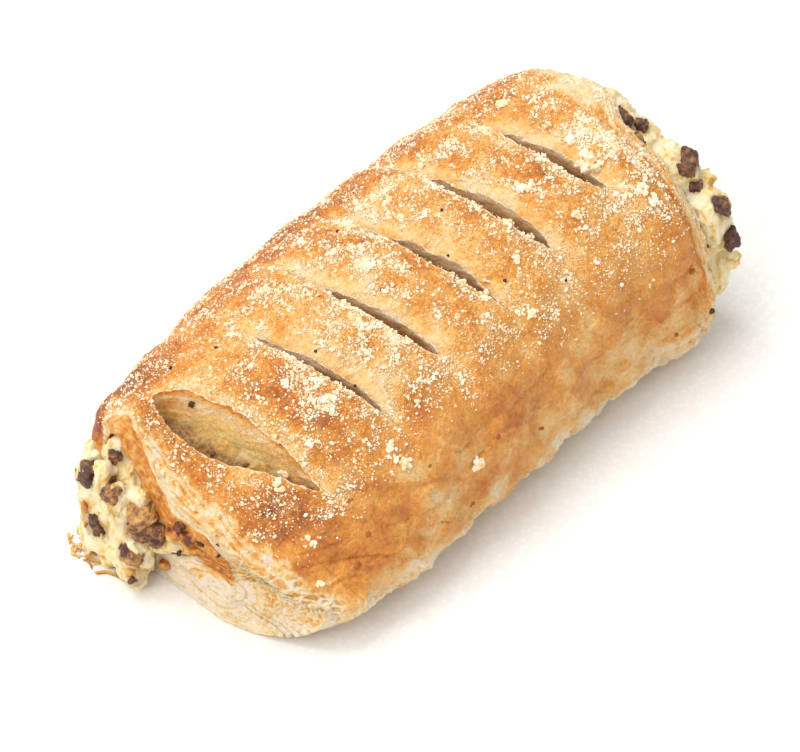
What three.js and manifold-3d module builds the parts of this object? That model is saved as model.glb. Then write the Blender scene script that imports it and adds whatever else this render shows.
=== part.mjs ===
// A baked meat pasty: one sheet of puff pastry wrapped into a sleeve round a savoury
// filling, open at both ends and slashed six times across the top.
// Millimetres, +Z up. X runs along the loaf and the origin is on the flat underside.

import * as THREE from 'three';
import { mergeVertices } from 'three/addons/utils/BufferGeometryUtils.js';
import Module from 'manifold-3d';

const wasm = await Module();
wasm.setup();

// ---- Driving sizes ---------------------------------------------------------------

const NEAR_X = -66;        // rim of the end that gapes
const FAR_X = 67;          // rim of the other end
const FAR_LAP = 4.7;       // how far the lap at the other end reaches past the rest
const NEAR_BACK = 12;      // how far the near rim slants back on the -Y side
const NEAR_BACK_LEFT = 3;  // and on the +Y side
const FAR_BACK = 2;        // how far the lap's rim slants back
const SLANT_ENDS = [-54, 50];  // the rows beyond which the slashes lean and not the rims
const COLUMNS = 48;        // facets round the loaf

// The outside, station by station: height and sideways shift of the crown, reach to +Y
// and to -Y, and the fullness of the -Y shoulder, where 1 is a straight slope, 2 a round
const OUTSIDE = [
  { x: -66, crown: 41, shift: 13, left: 23.5, right: 36, shoulder: 1.0 },
  { x: -56, crown: 42.3, shift: 9, left: 30, right: 38, shoulder: 1.3 },
  { x: -42, crown: 45, shift: 5, left: 33, right: 38.5, shoulder: 1.8 },
  { x: -20, crown: 47, shift: 3, left: 37.5, right: 36.8, shoulder: 2.1 },
  { x: 5, crown: 48, shift: 2, left: 40.5, right: 34.5, shoulder: 2.3 },
  { x: 30, crown: 49, shift: 2, left: 41, right: 33.2, shoulder: 2.3 },
  { x: 52, crown: 50.5, shift: 2, left: 39.5, right: 34, shoulder: 2.3 },
  { x: 67, crown: 49.5, shift: 3, left: 37.5, right: 34, shoulder: 2.2 },
];
const BELLY_Z = 11;        // height of the widest point
const LEFT_SHOULDER = 2.2; // fullness of the +Y shoulder
const SIDE_FULLNESS = 3.4; // how square the underside is in plan
const BASE_FULLNESS = 2.8; // how square it is in height
const BASE_FLAT = 1.12;    // over 1 leaves a flat to rest on

// The hollow that the filling lies in: top, bottom, widest height, reach to each side
// from its own middle, and the fullness of its two -Y quarters
const HOLLOW = [
  { x: -66, top: 34, base: 3, belly: 13, middle: 13.5, left: 8.5, right: 19, over: 0.82, under: 1.1 },
  { x: -58, top: 32.5, base: 4, belly: 13, middle: 8, left: 18, right: 27, over: 1.5, under: 1.8 },
  { x: -48, top: 34, base: 4.5, belly: 13, middle: 4, left: 23, right: 34, over: 2.0, under: 2.6 },
  { x: -20, top: 38, base: 4.5, belly: 13, middle: 2, left: 29.5, right: 33, over: 2.2, under: 3 },
  { x: 20, top: 40.5, base: 4.5, belly: 13, middle: 2, left: 33, right: 30, over: 2.3, under: 3 },
  { x: 52, top: 43, base: 4.5, belly: 13, middle: 2, left: 33, right: 31, over: 2.3, under: 3 },
  { x: 67, top: 46, base: 4, belly: 13, middle: 3, left: 31, right: 33, over: 2.2, under: 3 },
];
const HOLLOW_LEFT = 2.3;   // fullness of its +Y quarters
const HOLLOW_ROWS = 12;

// The slashes: where each crosses y = 0, the middle and half length of its run in y, how
// far each lip stands off, and how far the pastry sinks on each side of it. The first one
// gapes, flares towards +Y, lies askew, and its near lip sags. The others flare towards -Y.
const SLASHES = [
  { x: -54.2, y: -5, half: 17.2, nearGape: 3.6, farGape: 3.6, flare: 0.55, skew: -1.2, nearSink: 0.5, farSink: 0.6, sag: 3.7 },
  { x: -33, y: -4, half: 18, nearGape: 1.2, farGape: 1.6, flare: -0.3, skew: 0, nearSink: 0.9, farSink: 2.6, sag: 0 },
  { x: -14.4, y: -2.2, half: 18.3, nearGape: 1.4, farGape: 1.9, flare: -0.4, skew: 0, nearSink: 0.9, farSink: 2.8, sag: 0 },
  { x: 5.2, y: 0.5, half: 19.5, nearGape: 1.5, farGape: 2.1, flare: -0.4, skew: 0, nearSink: 0.9, farSink: 3.0, sag: 0 },
  { x: 24.6, y: 3.2, half: 20.5, nearGape: 1.7, farGape: 2.4, flare: -0.4, skew: 0, nearSink: 0.9, farSink: 3.2, sag: 0 },
  { x: 43.7, y: 1.8, half: 17.5, nearGape: 1.7, farGape: 2.3, flare: -0.4, skew: 0, nearSink: 0.9, farSink: 3.2, sag: 0 },
];
const NEAR_ROLL = 2.2;     // how far from a near lip the pastry starts to roll down to it
const FAR_ROLL = 3.9;      // and from a far lip
const SAG_ROLL = 5;        // and how far the sag of the gaping slash reaches
const CREASE_REACH = 1.6;  // a slash goes on as a crease to this many half lengths
const LEAN_NEAR = -0.35;   // how far a slash leans along X for each mm of Y, at the near end
const LEAN_FAR = -0.15;    // and at the far end
const LEAN_MIDDLE = -6;    // the lean is greatest here in Y
const LEAN_REACH = 22;     // and dies away over this distance
const BLADE_FLOOR = 24;    // the slashes are cut down into the hollow to this height
const BLADE_TOP = 60;
const BLADE_STEPS = 10;
const SHOULDER_ROWS = [0, 1.3, 3.4, 6.2];  // rows of facets beside each lip

const EDGE_ROLL = 1.1;     // the rims are drawn in by this much over their last 3 mm
const FACE_RINGS = 5;      // flaky steps between a rim and the hollow
const FLAKE_STEP = 0.7;    // how far alternate steps stand out
const WRINKLE = 0.55;      // height of the unevenness of the sides

const CLEARANCE = 0.9;     // the filling stays this far inside the hollow
const LUMP_CLEARANCE = 0.5;  // and its lumps this far from the crust
const NEAR_BULGE = 6.5;    // how far the filling swells out at each end
const FAR_BULGE = 5.5;
const NEAR_TIP = [14, 15]; // Y and Z of the middle of each swelling
const FAR_TIP = [0, 22];
const DOME_RINGS = 4;

// Lumps that show on the filling: place, radii and turn about Z
const CURDS = [
  { at: [-70, 16.5, 17], size: [4.2, 5.6, 8], turn: 0.3 },
  { at: [-70.4, 9, 9], size: [3.6, 5.5, 7], turn: -0.2 },
  { at: [-69.8, 16.5, 7], size: [3.6, 4.6, 5.4], turn: 0.5 },
  { at: [-69.4, 11, 3.6], size: [3.4, 6.5, 3.3], turn: 0.1 },
  { at: [-71.3, 19, 1.3], size: [3, 4.4, 1.1], turn: 0.7 },
  { at: [68, -4, 37.5], size: [4.5, 6, 5], turn: 0.2 },
  { at: [67.6, -15, 35], size: [4.8, 7, 6.5], turn: -0.3 },
  { at: [67.6, -24, 28], size: [4.8, 6, 8], turn: 0.1 },
  { at: [70.4, 9, 34], size: [3.8, 8, 8], turn: 0.4 },
  { at: [69.8, -10, 17], size: [4, 9, 9], turn: -0.1 },
  { at: [68.5, -24, 14], size: [4.6, 6, 7], turn: 0.2 },
  { at: [70.6, 21, 24], size: [3.6, 7, 9], turn: 0.2 },
  { at: [70.6, 10, 13], size: [3.6, 9, 7], turn: -0.2 },
];
const MEAT = [
  { at: [-72.2, 16.6, 25.4], size: [2.2, 2.6, 3.4], turn: 0.4 },
  { at: [-72.2, 18.6, 13], size: [1.6, 1.8, 4.2], turn: 0.2 },
  { at: [-68.2, 3.6, 14.2], size: [2.6, 4.4, 3.4], turn: -0.4 },
  { at: [-70.8, 12.4, 21], size: [1.8, 3, 2.4], turn: 0.6 },
  { at: [-70.6, 7.5, 3.4], size: [2.4, 3, 2.4], turn: 0.1 },
  { at: [69.4, 0.6, 40.6], size: [2.2, 3.4, 2.2], turn: 0.2 },
  { at: [70.6, -16.8, 38], size: [2, 3.2, 2.4], turn: 0.5 },
  { at: [71.2, -18.4, 31.6], size: [1.9, 2.8, 2], turn: 0 },
  { at: [71.4, -26, 30], size: [1.9, 2.6, 3.2], turn: -0.2 },
  { at: [71.4, -28.6, 22.6], size: [1.7, 2.2, 2.6], turn: 0.3 },
  { at: [73.4, 2, 26], size: [1.9, 3.4, 3], turn: 0.3 },
  { at: [73.6, 14, 31], size: [1.9, 3.2, 2.8], turn: -0.4 },
];

const CRUST_COLOUR = 0xd9a05c;
const FILLING_COLOUR = 0xe2c58c;

// ---- Curves ----------------------------------------------------------------------

function clamp01(value) {
  return Math.min(1, Math.max(0, value));
}

function smooth(low, high, value) {
  const t = clamp01((value - low) / (high - low));
  return t * t * (3 - 2 * t);
}

function power(base, exponent) {
  return Math.sign(base) * Math.abs(base) ** exponent;
}

function bell(distance) {
  return Math.exp(-(distance ** 2));
}

// A smooth curve through one quantity of a list of stations
function along(stations, key, x) {
  const last = stations.length - 2;
  let i = stations.findIndex((station) => station.x > x) - 1;
  i = i < 0 ? (x < stations[0].x ? 0 : last) : i;
  const before = stations[Math.max(0, i - 1)];
  const from = stations[i];
  const to = stations[i + 1];
  const after = stations[Math.min(last + 1, i + 2)];
  const span = to.x - from.x;
  const t = (x - from.x) / span;
  const slopeFrom = span * (to[key] - before[key]) / (to.x - before.x);
  const slopeTo = span * (after[key] - from[key]) / (after.x - from.x);
  return (2 * t ** 3 - 3 * t ** 2 + 1) * from[key] + (t ** 3 - 2 * t ** 2 + t) * slopeFrom
    + (3 * t ** 2 - 2 * t ** 3) * to[key] + (t ** 3 - t ** 2) * slopeTo;
}

// The near rim slants back on both sides. At the far one the +Y half laps out past the rest.
function nearRimBack(y) {
  return NEAR_BACK * clamp01((-y - 8) / 30) ** 2 + NEAR_BACK_LEFT * clamp01((y - 12) / 14) ** 2;
}

function farRimBack(y) {
  return FAR_LAP * (1 - smooth(-6, 3, y)) + FAR_BACK * clamp01((y - 10) / 28) ** 2;
}

// The slashes lean, most of all at the gaping end, which their +Y ends lie nearer
function slashLean(row, y) {
  const towardsNear = clamp01((SLASHES.at(-1).x - row) / (SLASHES.at(-1).x - SLASHES[0].x));
  const slope = LEAN_FAR + (LEAN_NEAR - LEAN_FAR) * towardsNear ** 1.3;
  return slope * (LEAN_REACH * Math.tanh((y - LEAN_MIDDLE) / LEAN_REACH) + LEAN_MIDDLE);
}

// How far a point of a row lies from the row's own place along X
function lean(row, y) {
  const near = 1 - smooth(NEAR_X, SLANT_ENDS[0], row);
  const far = smooth(SLANT_ENDS[1], FAR_X, row);
  return near * nearRimBack(y) - far * farRimBack(y) + (1 - near) * (1 - far) * slashLean(row, y);
}

// ---- The outside of the crust ----------------------------------------------------

// How far the pastry sinks at a slash, and along the crease that goes on from it
function slashSink(slash, row, y) {
  const run = (y - slash.y) / slash.half;
  const open = Math.sqrt(Math.max(0, 1 - run * run));
  const away = row - slash.x - slash.skew * run;
  const gape = open * (1 + slash.flare * run) * (away < 0 ? slash.nearGape : slash.farGape);
  const past = Math.max(0, Math.abs(away) - gape);
  const fade = 1 - smooth(0.55, CREASE_REACH, Math.abs(run));
  if (away > 0) return slash.farSink * fade * bell(past / FAR_ROLL);
  const sag = slash.sag * smooth(-0.9, 0.3, run) * open ** 1.5 * bell(past / SAG_ROLL);
  return slash.nearSink * fade * bell(past / NEAR_ROLL) + sag;
}

// Soft folds and blisters, strongest low on the sides
function wrinkles(x, y, z) {
  const low = 1 - smooth(20, 44, z);
  const folds = Math.sin(0.33 * x + 0.9 * Math.sin(0.11 * z + 0.05 * x)) * Math.sin(0.21 * z + 0.07 * x);
  const lumps = Math.sin(0.19 * x + 0.23 * y + 1.3) * Math.sin(0.27 * y - 0.13 * x);
  return WRINKLE * (low * 1.5 * folds + lumps);
}

function outerPoint(row, angle, swell = 0) {
  const shift = along(OUTSIDE, 'shift', row);
  const crown = along(OUTSIDE, 'crown', row);
  const c = Math.cos(angle);
  const s = Math.sin(angle);
  const reach = c > 0 ? along(OUTSIDE, 'left', row) - shift : along(OUTSIDE, 'right', row) + shift;
  const shoulder = c > 0 ? LEFT_SHOULDER : along(OUTSIDE, 'shoulder', row);
  let y = shift + reach * power(c, 2 / (s > 0 ? shoulder : SIDE_FULLNESS));
  let z = s > 0
    ? BELLY_Z + (crown - BELLY_Z) * power(s, 2 / shoulder)
    : BELLY_Z * (1 - BASE_FLAT * Math.abs(s) ** (2 / BASE_FULLNESS));
  const above = smooth(0, 6, z);
  const drawnIn = EDGE_ROLL * Math.max(1 - smooth(0, 3, row - NEAR_X), 1 - smooth(0, 3, FAR_X - row));
  let out = swell + above * (wrinkles(row, y, z) - drawnIn);
  SLASHES.forEach((slash) => {
    out -= above * slashSink(slash, row, y);
  });
  const away = Math.hypot(y - shift, z - BELLY_Z);
  y += out * (y - shift) / away;
  z += out * (z - BELLY_Z) / away;
  return [row + lean(row, y), y, Math.max(-swell, z)];
}

// ---- The hollow ------------------------------------------------------------------

function hollowPoint(row, angle, inset = 0) {
  const at = (key) => along(HOLLOW, key, row);
  const c = Math.cos(angle);
  const s = Math.sin(angle);
  const fullness = c > 0 ? HOLLOW_LEFT : at(s > 0 ? 'over' : 'under');
  const reach = (c > 0 ? at('left') : at('right')) - inset;
  const height = (s > 0 ? at('top') - at('belly') : at('belly') - at('base')) - inset;
  const y = at('middle') + reach * power(c, 2 / fullness);
  const z = at('belly') + height * power(s, 2 / fullness);
  return [row + lean(row, y), y, z];
}

// ---- Meshes ----------------------------------------------------------------------

function ring(pointAt) {
  return Array.from({ length: COLUMNS }, (_, k) => pointAt(2 * Math.PI * k / COLUMNS));
}

// Two triangles for every facet between one ring and the next
function skin(rings, closed) {
  const faces = [];
  const gaps = closed ? rings.length : rings.length - 1;
  for (let i = 0; i < gaps; i += 1) {
    const here = i * COLUMNS;
    const next = ((i + 1) % rings.length) * COLUMNS;
    for (let k = 0; k < COLUMNS; k += 1) {
      const side = (k + 1) % COLUMNS;
      faces.push(here + k, next + side, next + k, here + k, here + side, next + side);
    }
  }
  return faces;
}

function geometryOf(points, faces) {
  const geometry = new THREE.BufferGeometry();
  geometry.setAttribute('position', new THREE.Float32BufferAttribute(points.flat(), 3));
  geometry.setIndex(faces);
  return geometry;
}

function solidOf(geometry) {
  const bare = geometry.clone();
  bare.deleteAttribute('normal');
  bare.deleteAttribute('uv');
  const merged = mergeVertices(bare, 1e-4);
  return new wasm.Manifold(new wasm.Mesh({
    numProp: 3,
    vertProperties: new Float32Array(merged.attributes.position.array),
    triVerts: new Uint32Array(merged.index.array),
  }));
}

function meshOf(name, solid, colour, roughness) {
  const { vertProperties, triVerts } = solid.getMesh();
  const geometry = new THREE.BufferGeometry();
  geometry.setAttribute('position', new THREE.Float32BufferAttribute(vertProperties, 3));
  geometry.setIndex(Array.from(triVerts));
  geometry.computeVertexNormals();
  const material = new THREE.MeshStandardMaterial({ color: colour, roughness, metalness: 0 });
  const mesh = new THREE.Mesh(geometry, material);
  mesh.name = name;
  return mesh;
}

// ---- Crust -----------------------------------------------------------------------

function shiftAlong(points, distance) {
  points.forEach((point) => {
    point[0] += distance;
  });
}

// Rows of the hollow stand closer together towards the two mouths
function hollowRows() {
  return Array.from({ length: HOLLOW_ROWS + 1 }, (_, k) => {
    const t = k / HOLLOW_ROWS;
    return NEAR_X + (FAR_X - NEAR_X) * (t - 0.1 * Math.sin(2 * Math.PI * t));
  });
}

// Rows of facets crowd in beside the slashes, where the pastry rolls over
function outerRows() {
  const rows = [NEAR_X, NEAR_X + 1, NEAR_X + 3, FAR_X - 10, FAR_X - 6, FAR_X - 3, FAR_X - 1, FAR_X];
  SLASHES.forEach((slash) => {
    SHOULDER_ROWS.forEach((away) => {
      rows.push(slash.x - slash.nearGape - away, slash.x + slash.farGape + away);
    });
  });
  return rows.sort((a, b) => a - b);
}

// The cut edge of the sheet: steps of flaky layers from the rim in to the hollow
function endFace(rim, mouth, outwards) {
  const rings = [];
  for (let k = 1; k < FACE_RINGS; k += 1) {
    const t = k / FACE_RINGS;
    rings.push(rim.map((edge, column) => {
      const point = edge.map((value, axis) => value + t * (mouth[column][axis] - value));
      point[0] += outwards * FLAKE_STEP * (k % 2);
      return point;
    }));
  }
  return rings;
}

// The wrapped sheet before it is slashed. A margin makes it stouter on every side.
function sleeve(margin = 0) {
  const outside = outerRows().map((row) => ring((angle) => outerPoint(row, angle, 5 * margin)));
  const inside = hollowRows().map((row) => ring((angle) => hollowPoint(row, angle, margin)));
  const nearFace = endFace(outside[0], inside[0], -1);
  const farFace = endFace(outside.at(-1), inside.at(-1), 1);
  [outside[0], inside[0], ...nearFace].forEach((points) => shiftAlong(points, -margin));
  [outside.at(-1), inside.at(-1), ...farFace].forEach((points) => shiftAlong(points, margin));
  const rings = [...outside, ...farFace, ...inside.reverse(), ...nearFace.reverse()];
  return solidOf(geometryOf(rings.flat(), skin(rings, true)));
}

// One slash: a lens-shaped blade that follows the lean of its row
function blade(slash) {
  const rim = [];
  for (let k = 0; k < 2 * BLADE_STEPS; k += 1) {
    const turn = Math.PI * k / BLADE_STEPS;
    const run = Math.cos(turn);
    const y = slash.y + slash.half * run;
    const gape = Math.sin(turn) * (1 + slash.flare * run) * (turn < Math.PI ? slash.farGape : slash.nearGape);
    rim.push(new THREE.Vector2(slash.x + slash.skew * run + lean(slash.x, y) + gape, y));
  }
  const geometry = new THREE.ExtrudeGeometry(new THREE.Shape(rim), {
    depth: BLADE_TOP - BLADE_FLOOR,
    bevelEnabled: false,
  });
  return solidOf(geometry.translate(0, 0, BLADE_FLOOR));
}

function makeCrust() {
  let crust = sleeve();
  SLASHES.forEach((slash) => {
    crust = crust.subtract(blade(slash));
  });
  return meshOf('crust', crust, CRUST_COLOUR, 0.55);
}

// ---- Filling ---------------------------------------------------------------------

// Rings that swell out of a mouth and close in a dome
function dome(row, outwards, bulge, centre) {
  const rings = [];
  for (let k = 1; k <= DOME_RINGS; k += 1) {
    const turn = 0.5 * Math.PI * k / (DOME_RINGS + 0.6);
    rings.push(ring((angle) => {
      const [x, y, z] = hollowPoint(row, angle, CLEARANCE);
      const size = Math.cos(turn);
      return [
        x + (row + outwards * bulge - x) * Math.sin(turn),
        centre[0] + size * (y - centre[0]),
        centre[1] + size * (z - centre[1]),
      ];
    }));
  }
  return rings;
}

function lump({ at, size, turn }) {
  const geometry = new THREE.IcosahedronGeometry(1, 1);
  const place = geometry.attributes.position;
  for (let i = 0; i < place.count; i += 1) {
    const [x, y, z] = [place.getX(i), place.getY(i), place.getZ(i)];
    const rough = 1 + 0.12 * Math.sin(5 * x + at[1]) * Math.sin(4 * y + at[2]) + 0.08 * Math.sin(7 * z);
    place.setXYZ(i, x * rough * size[0], y * rough * size[1], z * rough * size[2]);
  }
  return solidOf(geometry.rotateZ(turn).translate(...at));
}

function makeFilling() {
  const rings = hollowRows().map((row) => ring((angle) => hollowPoint(row, angle, CLEARANCE)));
  rings.unshift(...dome(NEAR_X, -1, NEAR_BULGE, NEAR_TIP).reverse());
  rings.push(...dome(FAR_X, 1, FAR_BULGE, FAR_TIP));
  const points = rings.flat();
  const faces = skin(rings, false);
  const nearTip = points.push([NEAR_X - NEAR_BULGE, ...NEAR_TIP]) - 1;
  const farTip = points.push([FAR_X + FAR_BULGE, ...FAR_TIP]) - 1;
  const lastRing = (rings.length - 1) * COLUMNS;
  for (let k = 0; k < COLUMNS; k += 1) {
    const side = (k + 1) % COLUMNS;
    faces.push(nearTip, side, k);
    faces.push(farTip, lastRing + k, lastRing + side);
  }
  const keepClear = sleeve(LUMP_CLEARANCE);
  let filling = solidOf(geometryOf(points, faces));
  [...CURDS, ...MEAT].forEach((piece) => {
    filling = filling.add(lump(piece).subtract(keepClear));
  });
  return meshOf('filling', filling, FILLING_COLOUR, 0.6);
}

const pasty = new THREE.Group();
pasty.add(makeCrust());
pasty.add(makeFilling());

export default pasty;
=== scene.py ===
"""Looks of a baked meat pasty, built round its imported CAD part.

Lengths are in millimetres until mesh_piece() makes a mesh. X runs along the loaf, Z is up.
A point of the crust is also known by its row, which is its X before the rims and slashes lean.
"""

import math
from itertools import product

import bpy
import numpy as np
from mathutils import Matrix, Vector
from mathutils.bvhtree import BVHTree


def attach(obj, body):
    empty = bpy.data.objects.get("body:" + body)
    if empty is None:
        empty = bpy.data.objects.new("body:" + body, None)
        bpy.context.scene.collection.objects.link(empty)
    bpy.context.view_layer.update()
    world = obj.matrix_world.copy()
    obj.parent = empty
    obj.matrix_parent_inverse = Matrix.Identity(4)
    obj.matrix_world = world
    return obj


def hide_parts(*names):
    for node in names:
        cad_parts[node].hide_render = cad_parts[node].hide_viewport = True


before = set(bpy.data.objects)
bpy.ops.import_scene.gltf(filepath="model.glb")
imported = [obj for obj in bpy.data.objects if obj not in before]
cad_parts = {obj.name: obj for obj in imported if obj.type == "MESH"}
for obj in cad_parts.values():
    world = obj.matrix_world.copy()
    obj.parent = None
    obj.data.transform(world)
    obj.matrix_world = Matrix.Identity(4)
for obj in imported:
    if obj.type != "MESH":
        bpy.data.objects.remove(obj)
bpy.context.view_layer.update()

MM = 0.001
FINE_STEPS, FINE_ANGLES = 6001, 2401  # how finely a length or a turn is walked to space rows and columns

# ---- Sizes shared with the CAD part ----

NEAR_X, FAR_X, FAR_LAP = -66.0, 67.0, 4.7
BELLY_Z, LEFT_SHOULDER, SIDE_FULLNESS = 11.0, 2.2, 3.4
BASE_FULLNESS, BASE_FLAT, EDGE_ROLL, WRINKLE = 2.8, 1.12, 1.1, 0.55
OUTSIDE = {
    "x": (-66, -56, -42, -20, 5, 30, 52, 67),
    "crown": (41, 42.3, 45, 47, 48, 49, 50.5, 49.5),
    "shift": (13, 9, 5, 3, 2, 2, 2, 3),
    "left": (23.5, 30, 33, 37.5, 40.5, 41, 39.5, 37.5),
    "right": (36, 38, 38.5, 36.8, 34.5, 33.2, 34, 34),
    "shoulder": (1.0, 1.3, 1.8, 2.1, 2.3, 2.3, 2.3, 2.2),
}
HOLLOW = {
    "x": (-66, -58, -48, -20, 20, 52, 67),
    "top": (34, 32.5, 34, 38, 40.5, 43, 46),
    "base": (3, 4, 4.5, 4.5, 4.5, 4.5, 4),
    "belly": (13, 13, 13, 13, 13, 13, 13),
    "middle": (13.5, 8, 4, 2, 2, 2, 3),
    "left": (8.5, 18, 23, 29.5, 33, 33, 31),
    "right": (19, 27, 34, 33, 30, 31, 33),
    "over": (0.82, 1.5, 2.0, 2.2, 2.3, 2.3, 2.2),
    "under": (1.1, 1.8, 2.6, 3, 3, 3, 3),
}
HOLLOW_LEFT, CLEARANCE = 2.3, 0.9
SLASH_KEYS = ("x", "y", "half", "near", "far", "flare", "skew", "near_sink", "far_sink", "sag")
SLASH_VALUES = (
    (-54.2, -5.0, 17.2, 3.6, 3.6, 0.55, -1.2, 0.5, 0.6, 3.7),
    (-33.0, -4.0, 18.0, 1.2, 1.6, -0.3, 0, 0.9, 2.6, 0),
    (-14.4, -2.2, 18.3, 1.4, 1.9, -0.4, 0, 0.9, 2.8, 0),
    (5.2, 0.5, 19.5, 1.5, 2.1, -0.4, 0, 0.9, 3.0, 0),
    (24.6, 3.2, 20.5, 1.7, 2.4, -0.4, 0, 0.9, 3.2, 0),
    (43.7, 1.8, 17.5, 1.7, 2.3, -0.4, 0, 0.9, 3.2, 0),
)
SLASHES = [dict(zip(SLASH_KEYS, values)) for values in SLASH_VALUES]
NEAR_ROLL, FAR_ROLL, SAG_ROLL, CREASE_REACH = 2.2, 3.9, 5.0, 1.6
LEAN_NEAR, LEAN_FAR, LEAN_MIDDLE, LEAN_REACH = -0.35, -0.15, -6.0, 22.0

# ---- Curves ----


def clamp(value, low=0.0, high=1.0):
    return np.clip(value, low, high)


def smooth(low, high, value):
    t = clamp((np.asarray(value, float) - low) / (high - low))
    return t * t * (3 - 2 * t)


def power(base, exponent):
    return np.sign(base) * np.abs(base) ** exponent


def bell(distance, width):
    return np.exp(-((distance / width) ** 2))


def mixed(before, after, amount):
    """Before where amount is 0, after where it is 1."""
    return before * (1 - amount) + amount * after


def along(stations, key, x):
    """A smooth curve through one quantity of a table of stations."""
    xs = np.asarray(stations["x"], float)
    ys = np.asarray(stations[key], float)
    x = np.asarray(x, float)
    i = clamp(np.searchsorted(xs, x, side="right") - 1, 0, len(xs) - 2).astype(int)
    before, after = np.maximum(i - 1, 0), np.minimum(i + 2, len(xs) - 1)
    span = xs[i + 1] - xs[i]
    t = (x - xs[i]) / span
    slope_from = span * (ys[i + 1] - ys[before]) / (xs[i + 1] - xs[before])
    slope_to = span * (ys[after] - ys[i]) / (xs[after] - xs[i])
    return (
        (2 * t**3 - 3 * t**2 + 1) * ys[i]
        + (t**3 - 2 * t**2 + t) * slope_from
        + (3 * t**2 - 2 * t**3) * ys[i + 1]
        + (t**3 - t**2) * slope_to
    )


def slash_lean(row, y):
    """How far the middle rows run forward or back as the slashes lean."""
    t = clamp((SLASHES[-1]["x"] - row) / (SLASHES[-1]["x"] - SLASHES[0]["x"]))
    slope = LEAN_FAR + (LEAN_NEAR - LEAN_FAR) * t**1.3
    return slope * (LEAN_REACH * np.tanh((y - LEAN_MIDDLE) / LEAN_REACH) + LEAN_MIDDLE)


def lean(row, y):
    """How far a point of a row lies from the row's own place along X."""
    near = 1 - smooth(NEAR_X, -54, row)
    far = smooth(50, FAR_X, row)
    near_back = 12 * clamp((-y - 8) / 30) ** 2 + 3 * clamp((y - 12) / 14) ** 2
    far_back = FAR_LAP * (1 - smooth(-6, 3, y)) + 2 * clamp((y - 10) / 28) ** 2
    return near * near_back - far * far_back + (1 - near) * (1 - far) * slash_lean(row, y)


def row_of(x, y):
    """The row that a point at x, y belongs to."""
    row = np.array(x, float)
    for _ in range(8):
        row = x - lean(row, y)
    return row


def slash_open(slash, y):
    """How far open a slash is at a Y, from 0 to 1, and how far along the slash that is, from -1 to 1."""
    run = (y - slash["y"]) / slash["half"]
    return np.sqrt(np.maximum(0, 1 - run * run)), run


def slash_past(slash, row, y):
    """How far outside a slash's lips a point is, how far along the slash, and on which side."""
    opened, run = slash_open(slash, y)
    away = row - slash["x"] - slash["skew"] * run
    gape = opened * (1 + slash["flare"] * clamp(run, -1, 1)) * np.where(away < 0, slash["near"], slash["far"])
    return np.maximum(0, np.abs(away) - gape), run, away


def slash_sink(slash, row, y):
    """How deep the outside rolls down beside a slash."""
    past, run, away = slash_past(slash, row, y)
    fade = 1 - smooth(0.55, CREASE_REACH, np.abs(run))
    sag = slash["sag"] * smooth(-0.9, 0.3, run) * slash_open(slash, y)[0] ** 1.5 * bell(past, SAG_ROLL)
    near = slash["near_sink"] * fade * bell(past, NEAR_ROLL) + sag
    return np.where(away > 0, slash["far_sink"] * fade * bell(past, FAR_ROLL), near)


def wrinkles(x, y, z):
    """Soft folds low on the sides, and lumps all over."""
    low = 1 - smooth(20, 44, z)
    folds = np.sin(0.33 * x + 0.9 * np.sin(0.11 * z + 0.05 * x)) * np.sin(0.21 * z + 0.07 * x)
    lumps = np.sin(0.19 * x + 0.23 * y + 1.3) * np.sin(0.27 * y - 0.13 * x)
    return WRINKLE * (low * 1.5 * folds + lumps)


def sides(row, left):
    """Reach from the middle line to one side of the outside, and how square the shoulder there is."""
    shift = along(OUTSIDE, "shift", row)
    reach = np.where(left, along(OUTSIDE, "left", row) - shift, along(OUTSIDE, "right", row) + shift)
    return reach, np.where(left, LEFT_SHOULDER, along(OUTSIDE, "shoulder", row))


def plain_outside(row, angle):
    """Y and Z of the outside before it is wrinkled or slashed, and Y of its middle line."""
    shift, crown = along(OUTSIDE, "shift", row), along(OUTSIDE, "crown", row)
    c, s = np.cos(angle), np.sin(angle)
    reach, shoulder = sides(row, c > 0)
    y = shift + reach * power(c, 2 / np.where(s > 0, shoulder, SIDE_FULLNESS))
    over = BELLY_Z + (crown - BELLY_Z) * np.abs(s) ** (2 / shoulder)
    under = BELLY_Z * (1 - BASE_FLAT * np.abs(s) ** (2 / BASE_FULLNESS))
    return y, np.where(s > 0, over, under), shift


def outside(row, angle):
    """Row, Y and Z of the crust's outside."""
    row = np.broadcast_to(np.asarray(row, float), np.shape(angle))
    y, z, shift = plain_outside(row, angle)
    above = smooth(0, 6, z)
    drawn_in = EDGE_ROLL * np.maximum(1 - smooth(0, 3, row - NEAR_X), 1 - smooth(0, 3, FAR_X - row))
    out = above * (wrinkles(row, y, z) - drawn_in)
    for slash in SLASHES:
        out = out - above * slash_sink(slash, row, y)
    away = np.hypot(y - shift, z - BELLY_Z)
    z = np.maximum(0, z + out * (z - BELLY_Z) / away)
    return np.stack([row, y + out * (y - shift) / away, z], -1)


def top_height(row, y):
    """Height of the outside over a point of the plan, before it is slashed."""
    shift, crown = along(OUTSIDE, "shift", row), along(OUTSIDE, "crown", row)
    reach, shoulder = sides(row, y > shift)
    c = clamp(np.abs(y - shift) / reach) ** (shoulder / 2)
    return BELLY_Z + (crown - BELLY_Z) * np.sqrt(clamp(1 - c * c)) ** (2 / shoulder)


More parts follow.
